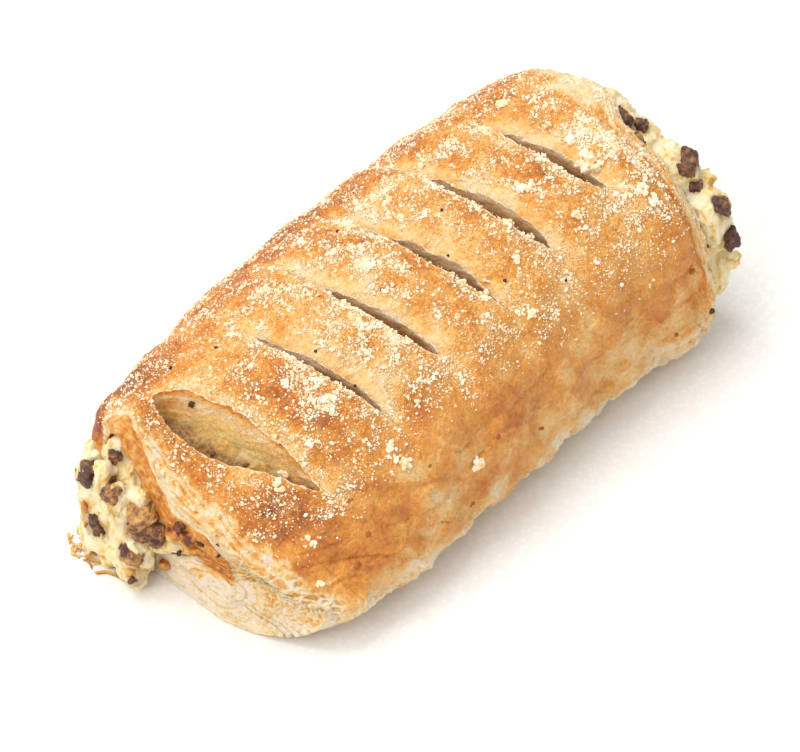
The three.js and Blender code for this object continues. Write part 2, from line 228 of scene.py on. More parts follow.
def hollow(row, angle, inset=0.0):
    """Row, Y and Z of the hollow's wall."""
    row = np.broadcast_to(np.asarray(row, float), np.shape(angle))
    at = {key: along(HOLLOW, key, row) for key in HOLLOW if key != "x"}
    c, s = np.cos(angle), np.sin(angle)
    fullness = np.where(c > 0, HOLLOW_LEFT, np.where(s > 0, at["over"], at["under"]))
    reach = np.where(c > 0, at["left"], at["right"]) - inset
    height = np.where(s > 0, at["top"] - at["belly"], at["belly"] - at["base"]) - inset
    y = at["middle"] + reach * power(c, 2 / fullness)
    return np.stack([row, y, at["belly"] + height * power(s, 2 / fullness)], -1)


def placed(q):
    """A point given by its row, moved to where it really is."""
    p = np.array(q, float)
    p[..., 0] = q[..., 0] + lean(q[..., 0], q[..., 1])
    return p


# ---- Noise ----

LOW_BITS = np.uint64(0xFFFFFFFF)


def scramble(cell, seed):
    """A whole number for each cell of a grid, as good as random."""
    h = np.uint64(seed * 7919 + 17)
    for steps, prime in zip(cell, (73856093, 19349663, 83492791)):
        h = h ^ (steps.astype(np.int64).astype(np.uint64) * np.uint64(prime))
    h &= LOW_BITS
    for shift, factor in ((15, 2246822519), (13, 3266489917)):
        h = ((h ^ (h >> np.uint64(shift))) * np.uint64(factor)) & LOW_BITS
    return h ^ (h >> np.uint64(16))


def part_of(h, shift):
    """A number from 0 to 1 out of ten bits of h."""
    return ((h >> np.uint64(shift)) & np.uint64(1023)).astype(float) / 1023


def noise(p, size, seed):
    """Smooth noise from about -1 to 1, whose lumps are about size mm."""
    q = np.moveaxis(np.asarray(p, float) / size, -1, 0)
    low = np.floor(q)
    f = q - low
    blend = f * f * f * (f * (f * 6 - 15) + 10)
    total = 0.0
    for step in product((0, 1), repeat=3):
        h = scramble([low[i] + step[i] for i in range(3)], seed)
        slope = sum((2 * part_of(h, 10 * i) - 1) * (f[i] - step[i]) for i in range(3))
        total = total + slope * math.prod(blend[i] if step[i] else 1 - blend[i] for i in range(3))
    return 1.7 * total


def rough(p, size, seed, octaves=3):
    """Noise with finer noise on it."""
    total, weight = 0.0, 0.0
    for octave in range(octaves):
        total = total + noise(p, size / 2**octave, seed + octave) * 0.5**octave
        weight += 0.5**octave
    return total / weight


def cells(p, size, seed):
    """Distance to the nearest and the next of scattered points, in sizes, and the nearest's number."""
    q = np.moveaxis(np.asarray(p, float) / size, -1, 0)
    low = np.floor(q)
    first = second = np.full(q.shape[1:], 9.0)
    number = np.zeros(q.shape[1:])
    for step in product((-1, 0, 1), repeat=3):
        h = scramble([low[i] + step[i] for i in range(3)], seed)
        d = np.sqrt(sum((low[i] + step[i] + part_of(h, 10 * i) - q[i]) ** 2 for i in range(3)))
        nearer = d < first
        second = np.where(nearer, first, np.minimum(second, d))
        number = np.where(nearer, part_of(h, 5), number)
        first = np.where(nearer, d, first)
    return first, second, number


def three_noises(p, size, seed):
    """A shift along each axis that changes smoothly."""
    return np.stack([noise(p, size, seed + axis) for axis in range(3)], -1)


def ridge(value):
    """Rounded ridges from 0 to 1, with a crease at each whole number."""
    return np.abs(np.sin(math.pi * value))


# ---- Meshes ----


def give(mesh, key, numbers):
    """Give each corner of a mesh its number under this name."""
    data = mesh.attributes.get(key) or mesh.attributes.new(key, "FLOAT", "POINT")
    data.data.foreach_set("value", np.asarray(numbers, np.float32))


def mesh_piece(name, points, faces, material=None, values=None, flat=False):
    """A mesh of triangles, given in mm, with a number for each corner under each name in values."""
    mesh = bpy.data.meshes.new(name)
    total = len(faces)
    mesh.vertices.add(len(points))
    mesh.vertices.foreach_set("co", (np.asarray(points, float) * MM).ravel())
    mesh.loops.add(total * 3)
    mesh.loops.foreach_set("vertex_index", np.asarray(faces, np.int32).ravel())
    mesh.polygons.add(total)
    mesh.polygons.foreach_set("loop_start", np.arange(0, total * 3, 3, dtype=np.int32))
    mesh.update(calc_edges=True)
    for key, numbers in (values or {}).items():
        give(mesh, key, numbers)
    piece = bpy.data.objects.new(name, mesh)
    bpy.context.scene.collection.objects.link(piece)
    if material:
        mesh.materials.append(material)
    finish_shading(mesh, flat)
    return piece


def finish_shading(mesh, flat=False, sharp=None):
    """Flat or smooth shading, with sharp edges from this many degrees."""
    mesh.polygons.foreach_set("use_smooth", np.full(len(mesh.polygons), not flat))
    if sharp:
        mesh.set_sharp_from_angle(angle=math.radians(sharp))
    mesh.update()


def fetched(items, key, width, kind):
    """One property of every item, in rows of this width."""
    numbers = np.zeros(len(items) * width, kind)
    items.foreach_get(key, numbers)
    return numbers.reshape(-1, width)


def attribute(mesh, key):
    """The number of each corner of a mesh under this name, 0 if it has none."""
    data = mesh.attributes.get(key)
    return fetched(data.data, "value", 1, np.float32)[:, 0] if data else np.zeros(len(mesh.vertices))


def corners(mesh):
    return fetched(mesh.vertices, "co", 3, np.float32).astype(float) / MM


def triangles(mesh):
    mesh.calc_loop_triangles()
    return fetched(mesh.loop_triangles, "vertices", 3, np.int32)


def changed_mesh(piece):
    """The mesh of a piece as its modifiers leave it."""
    return bpy.data.meshes.new_from_object(piece.evaluated_get(bpy.context.evaluated_depsgraph_get()))


def gathered(meshes):
    """Corners and faces of several meshes as one."""
    points, faces, start = [], [], 0
    for p, f in meshes:
        points.append(p)
        faces.append(f + start)
        start += len(p)
    return np.concatenate(points), np.concatenate(faces)


def outward(points, faces):
    """Faces of a closed mesh, turned to face outwards."""
    a, b, c = (points[faces[:, i]] for i in range(3))
    return faces if np.sum(a * np.cross(b, c)) > 0 else faces[:, ::-1]


def tube(rings, tips=None):
    """A closed mesh from rings of points, with a fan at each end to its tip or its middle."""
    count, columns = rings.shape[:2]
    k = np.arange(columns)
    ends = [rings[0].mean(0), rings[-1].mean(0)] if tips is None else tips
    points = np.concatenate([rings.reshape(-1, 3), ends])
    last, tip = (count - 1) * columns, count * columns
    start = np.stack([np.full(columns, tip), (k + 1) % columns, k], -1)
    end = np.stack([np.full(columns, tip + 1), last + k, last + (k + 1) % columns], -1)
    return points, outward(points, np.concatenate([skin(count, columns), start, end]))


def sheet(shape, kept=...):
    """Two triangles for every square of a grid of corners, or for those that are kept."""
    number = np.arange(shape[0] * shape[1]).reshape(shape)
    squares = (number[:-1, :-1], number[1:, :-1], number[1:, 1:], number[:-1, 1:])
    a, b, c, d = (n[kept].ravel() for n in squares)
    return np.concatenate([np.stack([a, b, c], -1), np.stack([a, c, d], -1)])


def skin(rings, columns, closed=False):
    """Two triangles for every facet between one ring of columns and the next."""
    gaps = rings if closed else rings - 1
    i, k = np.meshgrid(np.arange(gaps), np.arange(columns), indexing="ij")
    here, after = i * columns, ((i + 1) % rings) * columns
    side = (k + 1) % columns
    one = np.stack([here + k, after + side, after + k], -1)
    two = np.stack([here + k, here + side, after + side], -1)
    return np.concatenate([one.reshape(-1, 3), two.reshape(-1, 3)])


def spread(low, high, spacing):
    """Places from low to high that stand as far apart as spacing says."""
    fine = np.linspace(low, high, FINE_STEPS)
    steps = np.concatenate([[0], np.cumsum(np.diff(fine) / spacing(0.5 * (fine[1:] + fine[:-1])))])
    count = int(round(steps[-1]))
    return np.interp(np.arange(count + 1) * steps[-1] / count, steps, fine)


def unit(n):
    """Vectors of length 1 that point the same way."""
    return n / np.maximum(np.linalg.norm(n, axis=-1, keepdims=True), 1e-9)


def grid_facing(p):
    """Directions square to a grid of rings."""
    return unit(np.cross(np.roll(p, -1, 1) - np.roll(p, 1, 1), np.gradient(p, axis=0)))


def grid_normals(p, centre):
    """Outward directions of a grid of rings."""
    n = grid_facing(p)
    return np.where(np.sum(n * (p - centre), -1, keepdims=True) < 0, -n, n)


# ---- Crust ----

BODY_NEAR = -60.7  # the gaping end is a finer piece of its own up to this row
BODY_COLUMNS, END_COLUMNS = 312, 560
ROW_GAP, LIP_GAP, RIM_GAP, LIP_GROWTH, RIM_GROWTH = 0.74, 0.48, 0.3, 0.1, 0.12
FACE_RINGS, FAR_FACE_RINGS = 104, 10
OUTER_RINGS, INNER_RINGS = 26, 10  # of the gaping end's piece
# How far apart columns stand: top left and right, under the belly, and on the floor right and left
TOP_LEFT_GAP, TOP_RIGHT_GAP, UNDER_GAP, FLOOR_RIGHT_GAP, FLOOR_LEFT_GAP = 0.72, 0.58, 0.7, 1.15, 3.2
ON_FLOOR, NEXT_TO_FLOOR = 0.01, 0.4
WHORL_Y, WHORL_Z, WHORL_WIDE, WHORL_HIGH = -9.5, 8.5, 9.2, 6.6  # the rolled-in layers at the gaping end

# On the cut edge at the gaping end a browned strip lies between these borders: Y, then Z at each
STRIP_TOP = (
    (-15.5, -14.4, -11.8, -9, -5.1, -0.8, 0.7, 3.4, 7.3, 10.3, 12.5),
    (12, 15.6, 20.2, 21.8, 22, 23.6, 25.4, 30.2, 34.8, 38.4, 40),
)
STRIP_FOOT = (
    (-15.5, -12.3, -8, -2.9, 1.8, 5.3, 9.5, 13.1, 15.5, 16.9),
    (9.5, 11.5, 13.4, 14.8, 17.2, 19.8, 22.6, 26.8, 31.0, 34.3),
)
# Behind the rim of that end the outside stays pale this far along X: Y, then how far at each
PALE_RIM = ((-35, -30, -23, -15, -5, 0, 6), (1.2, 2.6, 2.8, 2.9, 2.6, 1.0, 1.8))

# Places on the outside that are more or less browned: row, Y, reach in each, and by how much
BROWNED = [
    (-60.5, -8, 3.6, 12, 0.16), (-58.5, -25, 4.5, 9, 0.2), (-47, 2, 4, 12, 0.16), (-46, -18, 5, 12, 0.18),
    (-52, 20, 8, 8, 0.4), (-30, 16, 6, 5, 0.08), (-4, 15, 4, 5, 0.2), (12, -14, 5, 7, 0.12),
    (34, 15, 4, 5, 0.14), (31, -17, 5, 7, 0.08), (60, -22, 5, 8, 0.16), (50, -27, 9, 6, 0.1),
    (-24, -2, 6, 12, -0.08), (-7, 4, 6, 12, -0.06), (14, 18, 7, 6, -0.12), (30, 3, 5, 9, -0.06),
    (50, -12, 7, 9, -0.06),
]
# Where loose granules lie thickest: row, Y, reach in each, and how thick
DUSTED = [
    (-6, 5, 6, 9, 1.5), (-39, -13, 4, 8, 1.3), (-21, -10, 5, 10, 1.0), (-24, 12, 6, 6, 0.5),
    (12, 15, 6, 8, 0.6), (33, -5, 5, 8, 0.6), (34, 17, 5, 5, 0.6), (54, -9, 7, 9, 1.5),
    (-52, -22, 5, 8, 0.4), (45, -22, 8, 6, 0.5), (-62, -22, 4, 10, 0.35),
]


# Borders of places on the crust: the values that each one starts and is complete at
SIDE_RIGHT, SIDE_RIGHT_TOP, SIDE_LEFT, SIDE_LEFT_TOP = (-22, -30), (35, 27), (28, 36), (30, 22)
TORN_ROW, TORN_RIGHT, TORN_TOP = (-63.2, -65.0), (-15, -21), (21, 15)
LAP_ROW, LAP_RIGHT, LAP_LEFT = (57.5, 59.5), (0, 3), (16, 11)
FOOT_TOP, FOOT_RIGHT, FOOT_ROW, FOOT_BUMP = (7.8, 5.2), (-4, -16), (-5, 12), -41
GLAZE_RIGHT, GLAZE_LOW = (-20, -28), (6, 10)
DUST_TOP, DUST_RIGHT = (16, 24), (-33, -27)


def column_angles(rows, columns):
    """Angles round each row that stand apart by what can be seen of them."""
    fine = np.linspace(0, 2 * np.pi, FINE_ANGLES)
    y, z, _ = plain_outside(rows[:, None], fine[None])
    z = np.maximum(z, 0)
    middle = 0.5 * (fine[1:] + fine[:-1])
    low = 0.5 * (z[:, 1:] + z[:, :-1])
    gap = np.where(middle < np.pi / 2, TOP_LEFT_GAP, TOP_RIGHT_GAP)
    gap = np.where(middle > np.pi, UNDER_GAP, gap)
    flat = np.where(middle > 1.5 * np.pi, FLOOR_LEFT_GAP, FLOOR_RIGHT_GAP)
    gap = np.where((middle > np.pi) & (low < NEXT_TO_FLOOR), flat, gap)
    steps = np.hypot(np.diff(y, axis=1), np.diff(z, axis=1)) / gap
    total = np.concatenate([np.zeros((len(rows), 1)), np.cumsum(steps, 1)], 1)
    wanted = np.arange(columns) / columns
    return np.stack([np.interp(wanted * t[-1], t, fine) for t in total])


def row_spacing(x):
    """How far apart rows stand: closer at the rims and the slashes."""
    gap = np.full(np.shape(x), ROW_GAP)
    for slash in SLASHES:
        lips = np.minimum(np.abs(x - slash["x"] + slash["near"]), np.abs(x - slash["x"] - slash["far"]))
        gap = np.minimum(gap, LIP_GAP + LIP_GROWTH * lips)
    return np.minimum(gap, RIM_GAP + RIM_GROWTH * np.minimum(x - NEAR_X, FAR_X - x))


def on_side(q):
    """1 low on the +Y and -Y sides, 0 on top."""
    y, z = q[..., 1], q[..., 2]
    right = smooth(*SIDE_RIGHT, y) * smooth(*SIDE_RIGHT_TOP, z)
    return right + smooth(*SIDE_LEFT, y) * smooth(*SIDE_LEFT_TOP, z)


def foot(q):
    """The pale flaky edge along the bottom."""
    taller = 0.4 + 0.6 * smooth(*FOOT_ROW, q[..., 0]) + 0.5 * bell(q[..., 0] - FOOT_BUMP, 3)
    z = q[..., 2] - 3.5 * smooth(*FOOT_RIGHT, q[..., 1]) * taller
    z = z + 4.2 * noise(q, 17, 60) + 1.8 * noise(q * [0.6, 1, 1], 4, 61)
    return smooth(*FOOT_TOP, z + 0.9 * noise(q, 1.5, 59))


def torn(q):
    """The low corner of the gaping end, where the layers have come open."""
    row, y, z = np.moveaxis(q, -1, 0)
    edge = row + 1.2 * noise(q, 5, 65)
    return smooth(*TORN_ROW, edge) * smooth(*TORN_RIGHT, y) * smooth(*TORN_TOP, z)


def lap(q):
    """The pale crescent of layers over the top of the far end."""
    row, y = q[..., 0], q[..., 1]
    return smooth(*LAP_ROW, row) * smooth(*LAP_RIGHT, y) * smooth(*LAP_LEFT, y)


def pale_rim(q):
    """The pale layers behind the rim of the gaping end."""
    reach = np.interp(q[..., 1], *PALE_RIM) * (1 + 0.5 * noise(q, 3.5, 37) + 0.2 * noise(q, 1.4, 38))
    return 1 - smooth(0.75, 1.05, (q[..., 0] - NEAR_X) / np.maximum(reach, 0.5))


def far_rim(q):
    """The pale layers behind the rim of the other end."""
    reach = 4.8 * (1 + 0.35 * noise(q, 5, 86) + 0.15 * noise(q, 1.6, 87))
    return (1 - smooth(0.75, 1.05, (FAR_X - q[..., 0]) / reach)) * (1 - lap(q))


def rim_lines(q, gap):
    """Edges of the layers behind the rim of the gaping end, this far apart."""
    return ridge((q[..., 0] - NEAR_X) / gap + 0.8 * noise(q, 5, 39))


def far_lines(q):
    """Edges of the layers behind the rim of the other end."""
    return ridge((FAR_X - q[..., 0]) / 1.5 + 0.7 * noise(q, 6, 87))


def plates(q):
    """Large thin flakes that the glazed sides break up into: a number for each, and its edge."""
    warped = q * [0.6, 1, 1] + 1.6 * three_noises(q, 5, 66)
    near, after, number = cells(warped, 7.5, 69)
    return number, after - near


def skin_relief(q):
    """How far the skin stands out from the CAD part's outside."""
    row, z = q[..., 0], q[..., 2]
    side = on_side(q)
    out = 0.4 * noise(q, 13, 1) + 0.26 * noise(q, 6, 2) + 0.14 * rough(q, 2.4, 3)
    near, _, number = cells(q, 3.4, 5)
    out += 0.26 * smooth(0.5, 0.18, near) * (number > 0.6) * (0.35 + 0.65 * side)
    stretched = q * [0.4, 0.8, 1.0] + np.array([0, 0.25, 0.1]) * row[..., None]
    out -= 0.5 * side * smooth(0.2, 0.0, np.abs(noise(stretched, 5.5, 8)))
    welts = smooth(0.16, 0.0, np.abs(noise(stretched, 3.4, 9)))
    out += 0.4 * side * welts * smooth(-0.1, 0.3, noise(q, 9, 7))
    out += 0.22 * (1 - side) * smooth(0.3, 0.0, np.abs(noise(q, 4.2, 10)))
    number, edge = plates(q)
    out += side * (0.6 * (number - 0.5) - 0.15 * smooth(0.06, 0, edge))
    for slash in SLASHES[1:]:
        past, run, away = slash_past(slash, row, q[..., 1])
        lip = (1 - smooth(0.9, 1.2, np.abs(run))) * bell(past, 0.9)
        out += np.where(away > 0, -0.55, 0.25) * lip
    layers = ridge((z + 0.9 * noise(q * [0.4, 1, 1], 6, 62)) / 1.6)
    out += foot(q) * (0.7 * layers**0.6 + 0.6 * noise(q, 3.2, 63) + 0.3 * noise(q, 1.5, 64) - 0.6)
    out += pale_rim(q) * (0.45 * rim_lines(q, 1.3) + 0.3 * noise(q, 1.6, 40) - 0.4)
    grooves = ridge((FAR_X - row) / 1.7 + 0.6 * noise(q, 7, 67))
    out += lap(q) * (0.5 * grooves - 0.5)
    out += far_rim(q) * (0.6 * far_lines(q) - 0.4)
    return smooth(0, 2, z) * out


def patches(marks, row, y):
    """The sum of soft round patches, each given by its row, Y, reach in each, and how much."""
    return sum(much * bell(row - a, wide) * bell(y - b, deep) for a, b, wide, deep, much in marks)


def browning(q):
    """How browned the outside is, from 0 for raw cream to 1 for dark brown."""
    row, y, z = np.moveaxis(q, -1, 0)
    toast = 0.54 + 0.16 * noise(q, 15, 31) + 0.24 * rough(q, 6, 32)
    toast += patches(BROWNED, row, y) * smooth(8, 20, z)
    toast += 0.16 * smooth(16, 27, y) * smooth(10, 24, z)
    for slash in SLASHES:
        past, run, away = slash_past(slash, row, y)
        fade = 1 - smooth(0.9, 1.5, np.abs(run))
        reach = np.where(away > 0, 3.6, 0.9) * (1 + 0.5 * noise(q, 6, 33))
        much = np.where(away > 0, 0.3, 0.16 if slash is not SLASHES[0] else 0)
        toast -= much * fade * bell(past, np.maximum(reach, 0.3))
        toast += 0.16 * (away > 0) * fade * bell(past, 0.7)
    side = on_side(q) * smooth(5, 9, z)
    number, edge = plates(q)
    toast += side * (0.2 * (number - 0.5) + 0.1 * noise(q * [0.5, 1, 1], 7, 34))
    # paler along the plates' edges: partly the flakes' own pale edges, partly a painted highlight
    toast -= side * 0.14 * smooth(0.06, 0.0, edge)
    toast -= 0.12 * side * (1 - smooth(9, 18, z))
    toast = mixed(toast, 0.22 + 0.2 * noise(q * [0.4, 1, 1], 2.0, 35), foot(q))
    far_layers = 0.26 + 0.24 * noise(q, 3, 88) + 0.24 * (1 - far_lines(q)) ** 2
    toast = mixed(toast, far_layers, far_rim(q))
    near_layers = 0.27 + 0.3 * noise(q, 2.4, 36) + 0.28 * (1 - rim_lines(q, 1.1)) ** 2
    toast = mixed(toast, near_layers, pale_rim(q))
    return toast * (1 - 0.7 * lap(q))


def rolled_lip(q):
    """1 where the far side of a slash rolls down to it, bare and smooth."""
    most = 0 * q[..., 0]
    for slash in SLASHES[1:]:
        past, run, away = slash_past(slash, q[..., 0], q[..., 1])
        near = 1 - smooth(1.6, 3.4, past + 1.2 * noise(q, 4, 84))
        most = np.maximum(most, (away > 0) * (1 - smooth(0.75, 1.1, np.abs(run))) * near)
    return most


def dusting(q):
    """How thickly granules lie at a place on the outside."""
    row, y, z = np.moveaxis(q, -1, 0)
    amount = 0.36 * smooth(-32, -25, y) * smooth(20, 30, z) + 0.85 * patches(DUSTED, row, y)
    for slash in SLASHES[1:]:
        past, run, away = slash_past(slash, row, y)
        amount += 0.8 * (away < 0) * (1 - smooth(0.8, 1.1, np.abs(run))) * bell(past - 0.6, 1.8)
    amount *= 0.15 + 1.3 * smooth(-0.3, 0.5, rough(q, 4.0, 81))
    amount = amount * (1 - 0.6 * pale_rim(q)) * (1 - 0.5 * far_rim(q))
    return amount * smooth(*DUST_TOP, z) * smooth(*DUST_RIGHT, y) * (1 - 0.9 * rolled_lip(q))


def finish_numbers(toast, gloss, raw, dust=0.0, yolk=0.0):
    """What the crust's material reads at each corner."""
    values = {"toast": toast, "gloss": gloss, "raw": raw, "dust": dust, "yolk": yolk}
    return {key: np.broadcast_to(value, np.shape(toast)) for key, value in values.items()}


def skin_numbers(q):
    """What the crust's material reads on the outside."""
    low, roll = foot(q), rolled_lip(q)
    gloss = clamp(smooth(*GLAZE_RIGHT, q[..., 1]) * smooth(*GLAZE_LOW, q[..., 2]) + 0.12) * (1 - low)
    raw = clamp(low + lap(q) + 0.7 * pale_rim(q) + 0.6 * far_rim(q))
    return finish_numbers(browning(q), gloss, raw, dusting(q) - 1.2 * roll, 0.5 * lap(q) + 0.25 * roll)


def stacked(parts):
    """Rings of points with their numbers, one part after another."""
    points = np.concatenate([part[0] for part in parts])
    numbers = {key: np.concatenate([part[1][key] for part in parts]).ravel() for key in parts[0][1]}
    return points, numbers


def face_points(rim, rim_q, mouth, mouth_q, rings):
    """Rings across a cut edge from its rim to the hollow's mouth, and how far they are from each."""
    t = (np.arange(1, rings) / rings)[:, None, None]
    points = rim[None] + t * (mouth[None] - rim[None])
    q = rim_q[None] + t * (mouth_q[None] - rim_q[None])
    length = np.linalg.norm(mouth - rim, axis=-1)[None]
    return points, q, t[..., 0] * length, (1 - t[..., 0]) * length


def outer_rings(rows, angles):
    """Points of the outside by row and where they really are, and its outward directions."""
    q = outside(rows[:, None], angles)
    p = placed(q)
    centre = np.stack([p[..., 0], 0 * p[..., 1] + 3, 0 * p[..., 2] + 15], -1)
    return q, p, grid_normals(p, centre)


def on_floor(points, q):
    """Keep the underside flat on the floor, and the rest over it."""
    points[..., 2] = np.where(q[..., 2] <= ON_FLOOR, 0, np.maximum(points[..., 2], 0))


def build_body():
    """The wrapped sheet before it is slashed, all but the gaping end."""
    rows = spread(BODY_NEAR, FAR_X, row_spacing)
    angles = column_angles(rows, BODY_COLUMNS)
    q, p, normals = outer_rings(rows, angles)
    outer = p + normals * skin_relief(q)[..., None]
    outer[0] -= 0.5 * normals[0]
    outer[1] -= 0.15 * normals[1]
    on_floor(outer, q)

    inside_rows = np.concatenate([[BODY_NEAR], np.linspace(-54, 56, 5), [61, 65, FAR_X]])
    inside_angles = np.array([[np.interp(r, rows, column) for column in angles.T] for r in inside_rows])
    inner_q = hollow(inside_rows[:, None], inside_angles)
    inner = placed(inner_q)
    points, fq, from_rim, to_mouth = face_points(outer[-1], q[-1], inner[-1], inner_q[-1], FAR_FACE_RINGS)
    wave = 0.5 * noise(fq, 7, 41)
    stand = 0.5 * ridge(from_rim / 1.3 + wave) + 0.3 * ridge(from_rim / 0.7 + wave) + 0.2 * rough(fq, 2.4, 42)
    points[..., 0] += stand * smooth(0, 0.8, from_rim) * smooth(0, 0.8, to_mouth)
    far_toast = 0.12 + 0.12 * ridge(from_rim / 1.3 + wave) + 0.2 * bell(to_mouth, 1.2)
    parts = [
        (outer, skin_numbers(q)),
        (points, finish_numbers(far_toast, 0.1, 1.0)),
        (inner[::-1], finish_numbers(np.full(inner.shape[:2], 0.2), 0.2, 0.8)),
    ]
    points, numbers = stacked(parts)
    faces = skin(len(points), BODY_COLUMNS, closed=True)
    return points.reshape(-1, 3), faces, numbers, (q, outer, normals)


def open_cells(from_rim, around, q):
    """Hollows between opened layers, long ways round the loaf: 0 on a layer's edge, 1 in a hollow."""
    warp = 0.35 * noise(q, 4, 27)
    flat = np.stack([from_rim / 1.3 + warp, around / 2.3 + 0.5 * noise(q, 6, 28), 0.15 * from_rim], -1)
    near, after, _ = cells(flat, 1.0, 22)
    return smooth(0.04, 0.3, after - near)


def cut_edge(q, from_rim, around):
    """How the cut edge of the gaping end stands out and looks: relief, browning with painted shade in its
    hollows and creases, a painted warm shade as yolk, and its strip.
    """
    y, z = q[..., 1], q[..., 2]
    wave = 0.5 * noise(q, 7, 21) + 0.16 * noise(q, 2.2, 25)
    over = 0.78 * (z - np.interp(y, *STRIP_TOP)) + 0.5 * noise(q, 4, 19) + 0.2 * noise(q, 1.5, 10)
    under = 0.8 * (z - np.interp(y, *STRIP_FOOT)) + 0.3 * noise(q, 3, 20)
    strip = smooth(-0.3, 0.3, under) * smooth(0.25, -0.25, over) * smooth(-16, -14.5, y)
    band = smooth(-0.25, 0.25, over) * smooth(-18, -14, y)
    reach = np.hypot((y - WHORL_Y) / WHORL_WIDE, (z - WHORL_Z) / WHORL_HIGH) + 0.12 * noise(q, 5, 9)
    rolled = (1 - smooth(1.0, 1.5, reach)) * (1 - strip)
    opened = (1 - strip) * (1 - band) * smooth(0.9, 1.4, reach) * smooth(-8, -14, y)
    tongue = (1 - rolled) * (1 - strip) * (1 - band) * (1 - opened)
    cup = open_cells(from_rim, around, q)
    bits = cells(q * [1, 0.7, 1.2] + 0.4 * wave[..., None], 2.4, 30)[2]
    spiral = 4.0 * reach + np.arctan2(z - WHORL_Z, y - WHORL_Y) / (2 * math.pi)
    level = from_rim / 1.5
    curl = ridge(spiral + 0.6 * wave) * rolled + ridge(level + wave) * (1 - rolled)
    fine = ridge(2.3 * spiral + wave) * rolled + ridge(2.4 * level + wave) * (1 - rolled)
    layer, thin = ridge(over / 1.5 + 0.8 * wave), ridge(over / 0.62 + 1.5 * wave)
    leaf = ridge(z / 1.7 + wave)
    stand = strip * (0.5 + 1.1 * np.sqrt(clamp(1 - ((under + over) / 8.5) ** 2)) + 0.3 * noise(q, 3, 18))
    stand += band * (0.9 * layer**0.5 + 0.4 * thin**0.5 - 0.2)
    stand += rolled * (0.3 * curl**0.5 + 0.1 * fine**0.5 + 1.5 * clamp(1 - reach**2))
    stand += opened * (0.15 * curl + 0.3 - 0.45 * cup * smooth(3, 9, z))
    stand += tongue * (0.22 * leaf**0.6 + 0.25 * noise(q, 3, 17))
    stand += 0.1 * rough(q, 1.6, 23) + 0.6 * noise(q, 6, 24) * smooth(0, 5, from_rim)
    stand += 0.5 * opened * (1 - smooth(1, 5, from_rim))
    toast = strip * (0.58 + 0.14 * noise(q, 5, 26) + 0.42 * rough(q, 1.5, 16) + 0.1 * smooth(0, -14, y))
    # painted shade: deep is darker in the valleys between the curled layers
    deep = (1 - curl) ** 3
    # darker at the creases between layers: partly browned layer edges, partly painted shade
    brown = 0.4 * (1 - layer) ** 3 + 0.16 * (1 - thin) ** 2
    toast += band * (0.2 + brown + 0.12 * (bits - 0.5) + 0.12 * noise(q, 3, 15))
    toast += rolled * (0.03 + 0.3 * deep + 0.14 * (bits - 0.3) + 0.26 * smooth(0.15, 0.5, noise(q, 5, 14)))
    # painted shade: the hollows between opened layers, and the curl's valleys, are browned as if in warm
    # shade
    brown = 0.34 * cup * smooth(3, 9, z) + 0.24 * deep
    toast += opened * (0.1 + brown + 0.16 * (bits - 0.5) + 0.14 * noise(q, 3, 13))
    toast += tongue * (0.02 + 0.12 * (bits - 0.3) + 0.28 * (1 - leaf) ** 3)
    toast += 0.2 * smooth(17, 20, y) * smooth(12, 18, z)
    # the third value is a painted warm shade, given as yolk, in the hollows between opened layers
    return stand, toast, 0.25 * opened * cup, strip


def end_outside(q, p, normals, around):
    """The outside of the gaping end, with its corner torn open, and what the material reads there."""
    opened = torn(q)
    cup = open_cells(NEAR_X - q[..., 0], around, q)
    relief = skin_relief(q) * (1 - opened) + opened * (0.3 - 0.8 * cup) * smooth(0, 2, q[..., 2])
    outer = p + normals * relief[..., None]
    round_off = 0.8 * bell(q[..., 0] - NEAR_X, 1.3) * smooth(-8, -15, q[..., 1]) * smooth(3, 10, q[..., 2])
    outer -= normals * round_off[..., None]
    outer[-1] -= 0.35 * normals[-1]
    outer[-2] -= 0.05 * normals[-2]
    on_floor(outer, q)
    numbers = skin_numbers(q)
    # painted shade: the hollows of the torn corner are browned as if in warm shade
    numbers["toast"] = mixed(numbers["toast"], 0.08 + 0.34 * cup + 0.08 * noise(q, 2, 29), opened)
    numbers["raw"] = np.maximum(numbers["raw"], opened)
    for key in ("gloss", "dust"):
        numbers[key] = numbers[key] * (1 - opened)
    return outer, numbers


